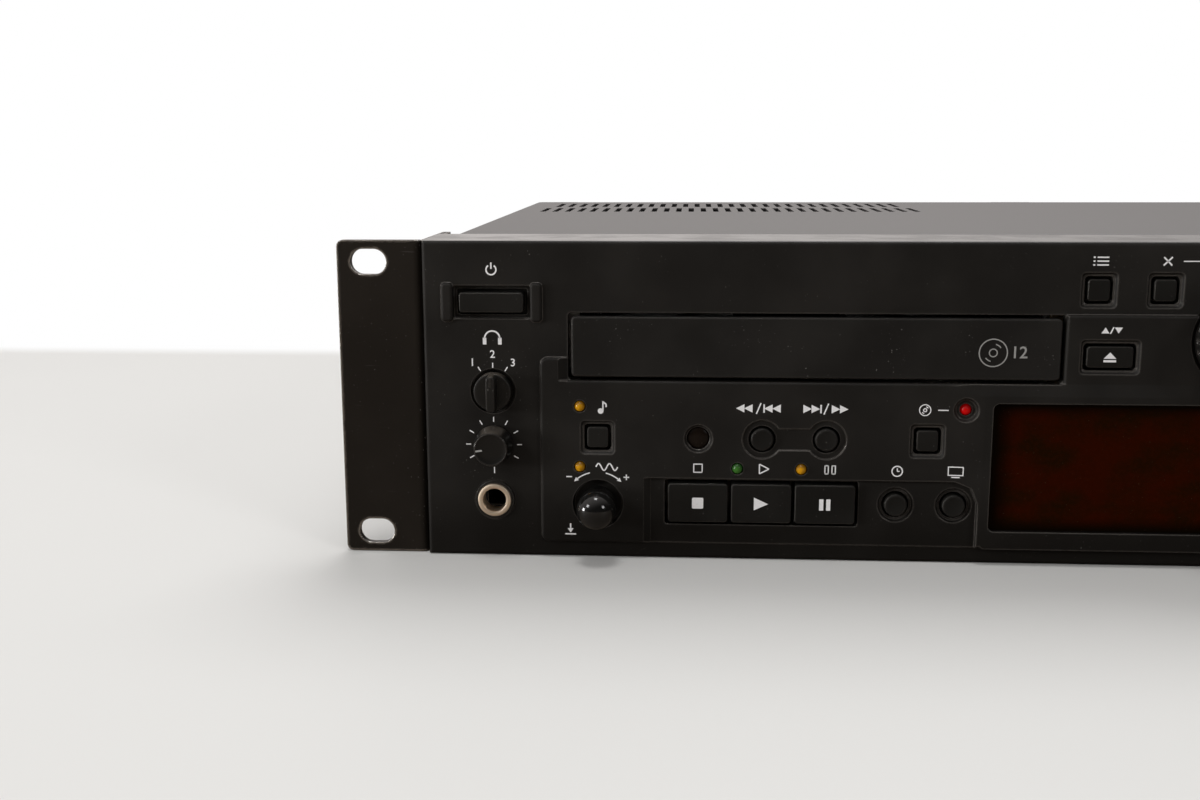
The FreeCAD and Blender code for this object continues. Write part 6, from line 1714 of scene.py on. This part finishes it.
# Knobs ----------------------------------------------------------------------------------------
@dataclass
class Knobs:
    """The turning knobs, with the spindles and shafts that they sit on."""

    sides: int = 64
    spindle: float = 3.0
    level_face: float = 4.3
    level_back: float = -0.3
    level_rim: float = -0.6
    level_pointer: float = -97.0
    grip_width: float = 2.7
    grip_shares: tuple[float, ...] = (0.78, 0.90, 0.96, 1.0, 1.0)
    disc_front: float = -2.2
    disc_back: float = 1.2
    pitch_dome: float = 4.8
    pitch_sides: int = 72
    dial_grips: int = 24
    grip_depth: float = 0.5
    dimple_rise: float = 6.4
    dimple_radius: float = 3.7
    dimple_depth: float = 0.8
    dial_dish: float = 0.15

    def level(self, node: str, pointer: float) -> None:
        """A level knob: a tapered barrel with a ringed face and a pointer line.

        Args:
            node: The solid that it stands for.
            pointer: Where its line points, in degrees clockwise from the top.
        """
        place = spot(node)
        front, r, face, back = place.front, place.width / 2, self.level_face, self.level_back
        profile = [(0.0, front + 0.28), (face * 0.6, front + 0.25), (face - 0.3, front + 0.14)]
        profile += [(face, front), (face + 0.2, front + 0.04), (face + 0.36, front + 0.28)]
        profile += [(face + 0.48, front + 0.9), (r - 0.3, front + 3.0), (r - 0.06, front + 5.0)]
        profile += [(r, self.level_rim), (r - 0.25, back), (self.spindle, back)]
        profile += [(self.spindle, place.back), (0.0, place.back)]
        work = Workpiece()
        work.turn(profile, (place.x, 0.0, place.z), steps=self.sides)
        work.done(node + "_barrel", KNOB, node, "knob_black", [node])
        mark = Sheet(front + 0.2, 0.16)
        mark.spokes(place.x, place.z, (face * 0.55, face + 0.02), [pointer], 0.45)
        mark.done(node + "_line", GREY_INK, node, "knob_black")

    def selector(self) -> None:
        """The selector: a low disc with a grip bar across it."""
        node = "phones_selector_knob"
        place = spot(node)
        r, low, high = place.width / 2, self.disc_front, place.front
        profile = [(0.0, low + 0.12), (r - 1.2, low + 0.05), (r - 0.5, low), (r - 0.15, low + 0.15)]
        profile += [(r, low + 0.6), (r, self.disc_back), (self.spindle, self.disc_back)]
        profile += [(self.spindle, place.back), (0.0, place.back)]
        work = Workpiece()
        work.turn(profile, (place.x, 0.0, place.z), steps=self.sides)
        work.done(node + "_disc", KNOB, node, "knob_black", [node])
        grip = Workpiece()
        rows = []
        for share, y in zip(self.grip_shares, (high, high + 0.22, high + 1.4, low, low + 0.8)):
            wide = self.grip_width * share
            outline = rounded(wide, 2 * (r - 0.1) * (0.6 + 0.4 * share), wide * 0.42, 6)
            rows.append([at(place.x + x, y, place.z + z) for x, z in outline])
        grip.skin(rows)
        grip.done(node + "_grip", KNOB, node, "knob_black", [node], 0.14)
        # A dark glossy strip on the grip bar's top half: painted shade standing in for an engraved groove
        mark = Sheet(high)
        mark.line((place.x, place.z + 2.0), (place.x, place.z + 4.6), 0.6)
        mark.done(node + "_line", DOME, node, "knob_black")

    def pitch(self) -> None:
        """The pitch knob: a short polished stalk that ends in a dome."""
        node = "pitch_knob"
        place = spot(node)
        r, back = place.width / 2, place.back
        profile = quarter_round(0.0, place.front, r, self.pitch_dome, 18)
        profile += [(r, back - 1.5), (r * 0.93, back - 0.3), (r * 0.9, back), (0.0, back)]
        work = Workpiece()
        work.turn(profile, (place.x, 0.0, place.z), steps=self.pitch_sides)
        work.done(node + "_dome", DOME, node, "knob_black", [node])

    def dial(self) -> None:
        """The big dial: a drum with a grooved rim, a dished face and a finger dimple."""
        node = "jog_dial"
        place = spot(node)
        front, back, r = place.front, place.back, place.width / 2
        sides = self.dial_grips * 10
        rings = [[at(place.x, front + self.dial_dish, place.z)]]
        shares = (0.12, 0.26, 0.38, 0.48, 0.58, 0.68, 0.77, 0.83)
        sinks = (self.dial_dish, self.dial_dish, 0.14, 0.12, 0.10, 0.06, 0.02, 0.0)
        for share, sink in zip(shares, sinks):
            ring = []
            for x, z in circle(r * share, sides):
                away = math.hypot(x, z - self.dimple_rise) / self.dimple_radius
                bowl = self.dimple_depth * max(0.0, 1.0 - away * away)
                ring.append(at(place.x + x, front + sink + bowl, place.z + z))
            rings.append(ring)
        # Each ring of the rim: its share of the radius, its depth and how deep its grooves are
        rim = [(0.885, 0.25, 0.0), (0.925, 0.75, 0.4), (0.955, 1.4, 1.0), (0.975, 3.0, 1.0)]
        rim += [(0.992, back - front - 2.2, 1.0)]
        for share, depth, grooved in rim:
            ring = []
            for x, z in circle(1.0, sides):
                wave = math.cos(self.dial_grips * math.atan2(z, x))
                reach = r * share - self.grip_depth * grooved * max(0.0, wave) ** 3
                ring.append(at(place.x + x * reach, front + depth, place.z + z * reach))
            rings.append(ring)
        for share, y in ((1.0, back - 2.0), (1.0, back - 0.3), (0.98, back)):
            rings.append([at(place.x + x, y, place.z + z) for x, z in circle(r * share, sides)])
        work = Workpiece()
        work.skin(rings)
        work.done(node + "_drum", KNOB, node, "knob_black", [node], smooth=40)

    def build(self) -> None:
        """Makes every knob."""
        self.selector()
        self.level("phones_level_knob", self.level_pointer)
        self.level("input_left_knob", 0.0)
        self.level("input_right_knob", 0.0)
        self.pitch()
        self.dial()
        dress(KEY_CAP, "pitch_shaft", "dial_shaft")


# Lamps, lens and window -------------------------------------------------------------------------
@dataclass
class Lamps:
    """The domed lamps, the remote control's lens and the display's window."""

    sides: int = 36
    rim: float = 0.5
    flange: float = 2.0
    flange_front: float = 8.0
    flange_back: float = 9.0
    lens_lip: float = 1.0
    lens_dome: float = 0.8
    lens_shelf: float = 3.0

    def lamp(self, node: str, finish: Finish, slot: str) -> None:
        """Every lamp of one colour: dome, body and foot.

        Args:
            node: The lamps' node.
            finish: The lens colour.
            slot: The record's material slot.
        """
        work = Workpiece()
        for place in islands(node):
            r = place.width / 2 - self.rim
            dome = quarter_round(0.0, place.front, r, r, 10)
            foot = [(r, self.flange_front), (self.flange, self.flange_front)]
            foot += [(self.flange, self.flange_back), (r, self.flange_back)]
            tail = [(r, place.back), (0.0, place.back)]
            work.turn(dome + foot + tail, (place.x, 0.0, place.z), steps=self.sides)
        work.done(node + "_domes", finish, "case", slot, [node], smooth=40)

    def lens(self) -> None:
        """The dark lens over the remote control's receiver."""
        node = "ir_window"
        place = spot(node)
        wide = place.width / 2
        r = wide - self.lens_lip
        cap = quarter_round(0.0, place.front, r, self.lens_dome, 9)
        foot = [(r, self.lens_shelf), (wide, self.lens_shelf), (wide, place.back), (0.0, place.back)]
        work = Workpiece()
        work.turn(cap + foot, (place.x, 0.0, place.z))
        work.done(node + "_lens", LENS_DARK, "case", "ir_lens", [node])

    def build(self) -> None:
        """Makes the lamps and the lens, and finishes the window."""
        self.lamp("led_amber", AMBER, "lamp_amber")
        self.lamp("led_green", GREEN, "lamp_green")
        self.lamp("led_red", RED, "lamp_red")
        self.lens()
        dress(WINDOW, "display_window")


# Sockets ------------------------------------------------------------------------------------------
@dataclass
class Sockets:
    """The front and rear sockets, each with its metal and its moulded parts."""

    jack_hole: float = 3.2
    jack_ring: float = 4.7
    jack_collar: float = 5.5
    jack_front: float = -1.2
    jack_seat: float = 4.5
    jack_bore: float = 31.5
    jack_inset: float = 1.6
    jack_corner: float = 0.8
    ring_sides: int = 64
    body_front: float = 4.0
    collar_front: float = -0.5
    spring_front: float = 9.0
    spring_back: float = 12.5
    pin_angles: tuple[int, ...] = (30, 90, 150, 210, 330)
    pin_circle: float = 2.2
    pin_radii: Point = (0.22, 0.45)
    pin_ends: Point = (0.1, 0.5)
    shield_radii: Point = (4.25, 4.45)
    shield_ends: Point = (-0.2, 6.0)
    rear_face: float = 272.0
    barrel: float = 4.15
    bore: float = 3.3
    sleeve_sides: int = 40
    contact: float = 2.0
    contact_hole: float = 1.6
    insulator_rise: float = 1.4
    insulator_sink: float = 2.6
    rca_pitch: float = 15.0
    coaxial_drop: float = 6.0
    base_back: float = 270.8
    blades: tuple[Point, ...] = ((-7.0, -2.0), (0.0, 2.0), (7.0, -2.0))
    blade_half: Point = (1.03, 2.03)
    blade_front: float = 16.0
    blade_back: float = 0.97

    def phones(self) -> None:
        """The phones jack: collar, plated ring, body and the spring in its bore."""
        node = "phones_jack"
        place = spot(node)
        x, z = place.x, place.z
        front, seat, hole, wide = self.jack_front, self.jack_seat, self.jack_hole, self.jack_ring
        collar = Workpiece()
        collar.tube(wide - 0.05, self.jack_collar, self.collar_front, seat, x, z)
        collar.done(node + "_collar", KNOB, "case", "jack_body", [node], 0.18)
        ring = Workpiece()
        lip = [(hole, seat), (hole, front + 0.45), (hole + 0.18, front + 0.12), (hole + 0.5, front)]
        lip += [(wide - 0.5, front), (wide - 0.15, front + 0.15), (wide, front + 0.5)]
        lip += [(wide, seat), (hole, seat)]
        ring.turn(lip, (x, 0.0, z), steps=self.ring_sides)
        ring.done(node + "_ring", RING_NICKEL, "case", "nickel", [node])
        body = Workpiece()
        outer = rounded(place.width - self.jack_inset, place.height - self.jack_inset, self.jack_corner, 15)
        bore = [(hole * px / math.hypot(px, pz), hole * pz / math.hypot(px, pz)) for px, pz in outer]
        stages = [(bore, self.jack_bore), (bore, self.body_front)]
        stages += [(outer, self.body_front), (outer, place.back)]
        rings = [[at(x + px, y, z + pz) for px, pz in path] for path, y in stages]
        body.skin([[at(x, self.jack_bore, z)], *rings, [at(x, place.back, z)]])
        body.done(node + "_body", SOCKET_BLACK, "case", "jack_body", [node])
        spring = Workpiece()
        low = (x - 0.8, self.spring_front, z + hole - 0.7)
        high = (x + 0.8, self.spring_back, z + hole + 0.1)
        spring.block(low, high)
        spring.done(node + "_spring", BRASS, "case", "nickel", [node], 0.2)

    def keyboard(self) -> None:
        """The contacts and the shield in the round keyboard socket."""
        node = "keyboard_socket"
        dress(SOCKET_BLACK, node)
        place = spot(node)
        pins = Workpiece()
        for angle in self.pin_angles:
            centre = on_circle(place.x, place.z, self.pin_circle, math.radians(angle - 90))
            pins.tube(*self.pin_radii, *self.pin_ends, *centre)
        pins.done(node + "_contacts", BRASS, "case", "nickel")
        shield = Workpiece()
        shield.tube(*self.shield_radii, *self.shield_ends, place.x, place.z)
        shield.done(node + "_shield", NICKEL, "case", "nickel", bevel=0.05)

    def sleeve(self, work: Workpiece, x: float, z: float, end: float) -> None:
        """One phono socket's sleeve with its rolled lip.

        Args:
            work: The workpiece to add to.
            x: The socket's middle along the rear.
            z: The socket's height.
            end: The place along Y of the sleeve's end.
        """
        low, high = self.rear_face - 2.0, self.rear_face + 1.6
        profile = [(self.bore, high), (self.bore, end - 0.2), (self.bore + 0.2, end)]
        profile += [(self.barrel - 0.2, end), (self.barrel, end - 0.25), (self.barrel, low)]
        profile += [(self.contact, low), (self.bore, high)]
        work.turn(profile, (x, 0.0, z), steps=self.sleeve_sides)

    def insulator(self, work: Workpiece, x: float, z: float, end: float) -> None:
        """The coloured ring inside one phono socket."""
        front, back = self.rear_face + self.insulator_rise, end - self.insulator_sink
        work.tube(self.contact, self.bore, front, back, x, z)

    def rear(self) -> None:
        """The phono and coaxial sockets on the rear."""
        sleeves, bodies, centres = Workpiece(), Workpiece(), Workpiece()
        rings = {WHITE_INSERT: Workpiece(), RED_INSERT: Workpiece()}
        digital_rings = Workpiece()
        spots = []
        for column in islands("rca_jacks"):
            for i, colour in ((-1, RED_INSERT), (1, WHITE_INSERT)):
                z = column.z + i * self.rca_pitch / 2
                spots.append((column.x, z, column.back))
                self.insulator(rings[colour], *spots[-1])
            bodies.block(column.low, (column.high[0], self.base_back, column.high[2]))
        for column in islands("digital_jacks"):
            spots.append((column.x, column.high[2] - self.coaxial_drop, column.back))
            self.insulator(digital_rings, *spots[-1])
        for x, z, end in spots:
            self.sleeve(sleeves, x, z, end)
            centres.tube(self.contact_hole, self.contact, self.rear_face, end - 1.0, x, z)
        sleeves.done("phono_sleeves", NICKEL, "case", "nickel", ["rca_jacks"])
        bodies.done("phono_bodies", SOCKET_BLACK, "case", "jack_body", ["rca_jacks"], 0.3)
        centres.done("phono_contacts", BRASS, "case", "nickel", ["rca_jacks"])
        for finish, work in rings.items():
            work.done("phono_insulator_" + finish.name, finish, "case", "jack_body", ["rca_jacks"])
        digital_rings.done("coaxial_insulators", AMBER_INSERT, "case", "jack_body")
        dress(SOCKET_BLACK, "digital_jacks", "power_inlet")

    def inlet(self) -> None:
        """The inlet's three blades."""
        place = spot("power_inlet")
        wide, tall = self.blade_half
        front, back = place.back - self.blade_front, place.back - self.blade_back
        work = Workpiece()
        for dx, dz in self.blades:
            x, z = place.x + dx, place.z + dz
            work.block((x - wide, front, z - tall), (x + wide, back, z + tall))
        work.done("inlet_blades", NICKEL, "case", "nickel", bevel=0.25)

    def build(self) -> None:
        """Makes every socket."""
        self.phones()
        self.keyboard()
        self.rear()
        self.inlet()


# Drives and boards --------------------------------------------------------------------------------
@dataclass
class Inside:
    """The two drives, the boards and the transformer in their solids' shapes, and the pickup's lens."""

    lens_radius: float = 1.7
    lens_foot: float = -0.4
    lens_sides: int = 32
    top_slice: float = 0.02

    def drives(self) -> None:
        """Finishes the disc drive and the minidisc drive."""
        dress(TRAY_GREY, "cd_tray")
        dress(TRAY_FACE, "cd_tray_front")
        dress(DRIVE_BLACK, "cd_drive_frame", "cd_pickup_sled", "cd_clamp_puck")
        dress(STEEL, "cd_loading_motor")
        dress(ZINC, "cd_traverse", "md_drive_frame")
        dress(ACETAL, "cd_loading_gear")
        dress(FELT, "cd_turntable")
        dress(KEY_CAP, "md_slot_door")

    def lens(self) -> None:
        """The glass lens of the pickup."""
        place = spot("cd_pickup_sled")
        top = place.high[2]
        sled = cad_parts["cd_pickup_sled"].data
        seat = [v.co / MM for v in sled.vertices if v.co.z / MM > top - self.top_slice]
        x = sum(v.x for v in seat) / len(seat)
        y = sum(v.y for v in seat) / len(seat) - FACE
        r = self.lens_radius
        profile = [(0.0, self.lens_foot), (r, self.lens_foot), (r, -0.15), (r * 0.8, -0.08)]
        profile += [(r * 0.5, -0.03), (0.0, -0.01)]
        work = Workpiece()
        work.turn(profile, (x, y, top), Axis.Z, self.lens_sides)
        work.done("pickup_lens", LENS_BLUE, "cd_pickup_sled", "ir_lens")

    def boards(self) -> None:
        """Finishes the boards and the transformer."""
        dress(FRONT_BOARD, "front_board")
        dress(MAIN_BOARD, "main_board")
        dress(CORE, "power_transformer")

    def build(self) -> None:
        """Finishes everything inside."""
        self.drives()
        self.lens()
        self.boards()


# Studio ---------------------------------------------------------------------------------------------
@dataclass(frozen=True)
class PaleFloor(Finish):
    """The plain pale floor, which goes over into the white background behind and far from the deck."""

    colour: Colour = (0.70, 0.69, 0.67)
    bounce: Colour = (0.27, 0.22, 0.175)
    horizon: Point = (218.0, 252.0)
    far: Point = (900.0, 1500.0)

    def build(self, net: Net) -> bpy.types.Material:
        """Draws the material's nodes.

        Args:
            net: The material's empty node tree.

        Returns:
            The material.
        """
        cloud = net.noise(160.0, 3.0, seed=2.0)
        base = net.mix(cloud * 0.5, self.colour, toned(self.colour, 0.96))
        seen = net.value("ShaderNodeLightPath", output="Is Camera Ray")
        feeds = {"Base Color": net.mix(seen, self.bounce, base), "Roughness": cloud * 0.1 + 0.55}
        ground = net.value("ShaderNodeBsdfPrincipled", None, feeds)
        white = net.value("ShaderNodeEmission", None, {"Color": WHITE, "Strength": 1.0})
        across, back = net.axis("X"), net.axis("Y")
        reach = (across * across + back * back).maths("SQRT")
        beyond = back.fade(*self.horizon).either(reach.fade(*self.far))
        net.close(net.value("ShaderNodeMixShader", None, {0: beyond * seen, 1: ground, 2: white}))
        return net.owner


FLOOR = PaleFloor("pale_floor")


@dataclass
class Studio:
    """The floor, the lights, the surroundings and the camera."""

    floor_half: float = 2600.0
    floor_thick: float = 20.0
    floor_gap: float = 0.15
    eye: Place = (-143.661, -366.242, 114.461)
    yaw: float = 3.945
    pitch: float = 10.774
    roll: float = -0.176
    lens: float = 40.904
    sensor: float = 36.0
    nearest: float = 0.01
    lit_point: Place = (-110.0, 0.0, 45.0)
    lamp_distance: float = 2.0
    lamp_size: float = 0.45
    wide_lamp_size: float = 1.2
    dim_room: Colour = (0.03, 0.03, 0.03)
    bright_room: Colour = (1.0, 0.945, 0.915)
    dim_fill: Colour = (0.07, 0.07, 0.07)
    bright_fill: Colour = (0.50, 0.50, 0.50)

    def floor(self) -> None:
        """A plain pale floor."""
        work = Workpiece()
        half = self.floor_half
        work.block((-half, -half, -self.floor_thick), (half, half, -self.floor_gap))
        data = work.closed("floor")
        data.materials.append(FLOOR.material())
        link("floor", data)

    def lamp(self, name: str, azimuth: float, rise: float, power: float, size: float) -> None:
        """One soft square light.

        Args:
            name: Its name.
            azimuth: Where it stands in degrees, from the front towards the right.
            rise: How high it stands, in degrees.
            power: Its power in watts.
            size: The length of its sides in metres.
        """
        light = bpy.data.lights.new(name, "AREA")
        light.energy = power
        light.size = size
        holder = link(name, light)
        a, b = math.radians(azimuth), math.radians(rise)
        way = Vector((math.sin(a) * math.cos(b), -math.cos(a) * math.cos(b), math.sin(b)))
        holder.location = at(*self.lit_point) + way * self.lamp_distance
        holder.rotation_euler = (-way).to_track_quat("-Z", "Y").to_euler()

    def surroundings(self) -> None:
        """A white background, with a room that is bright above and behind the deck and dim in front."""
        world = bpy.data.worlds.new("room")
        net = Net(world, "ShaderNodeOutputWorld")
        way = net.value("ShaderNodeTexCoord", output="Generated")
        across, toward, above = (
            net.value("ShaderNodeSeparateXYZ", None, {0: way}, output=name) for name in ("X", "Y", "Z")
        )
        bright = (toward * 0.5 + above * 0.9 - across * 0.4).fade(-0.2, 0.9)
        room = net.mix(bright, self.dim_room, self.bright_room)
        fill = net.mix(bright, self.dim_fill, self.bright_fill)
        seen = net.value("ShaderNodeLightPath", output="Is Camera Ray")
        mirrored = net.value("ShaderNodeLightPath", output="Is Glossy Ray")
        colour = net.mix(seen, net.mix(mirrored, fill, room), WHITE)
        net.close(net.value("ShaderNodeBackground", None, {"Color": colour, "Strength": 1.0}))
        bpy.context.scene.world = world

    def camera(self) -> None:
        """The camera, close in front of the left half and looking slightly down."""
        data = bpy.data.cameras.new("camera")
        data.lens = self.lens
        data.sensor_width = self.sensor
        data.sensor_fit = "HORIZONTAL"
        data.clip_start = self.nearest
        holder = link("camera", data)
        yaw, pitch, roll = (math.radians(a) for a in (self.yaw, self.pitch, self.roll))
        ahead = Vector((-math.sin(yaw) * math.cos(pitch), math.cos(yaw) * math.cos(pitch), -math.sin(pitch)))
        level = Vector((math.cos(yaw), math.sin(yaw), 0.0))
        plumb = level.cross(ahead)
        right = level * math.cos(roll) + plumb * math.sin(roll)
        up = plumb * math.cos(roll) - level * math.sin(roll)
        turn = Matrix((right, up, -ahead)).transposed().to_4x4()
        holder.matrix_world = Matrix.Translation(at(*self.eye)) @ turn
        bpy.context.scene.camera = holder

    def build(self) -> None:
        """Sets up the studio."""
        self.floor()
        self.lamp("left_light", azimuth=-52.0, rise=26.0, power=9.0, size=self.lamp_size)
        self.lamp("right_light", azimuth=44.0, rise=24.0, power=6.0, size=self.lamp_size)
        self.lamp("side_light", azimuth=-72.0, rise=4.0, power=22.0, size=self.lamp_size)
        self.lamp("top_light", azimuth=-15.0, rise=78.0, power=9.0, size=self.lamp_size)
        self.lamp("back_light", azimuth=164.0, rise=58.0, power=17.0, size=self.wide_lamp_size)
        self.surroundings()
        self.camera()
        bpy.context.scene.view_settings.view_transform = "Standard"


def main() -> None:
    """Builds the deck's looks piece by piece, then the studio round it."""
    logging.basicConfig(level=logging.INFO, format="%(message)s")
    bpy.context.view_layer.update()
    for part in (Case(), PanelPrint(), Buttons(), Knobs(), Lamps(), Sockets(), Inside(), Studio()):
        LOG.info("building %s", type(part).__name__)
        part.build()


if __name__ == "__main__":
    main()
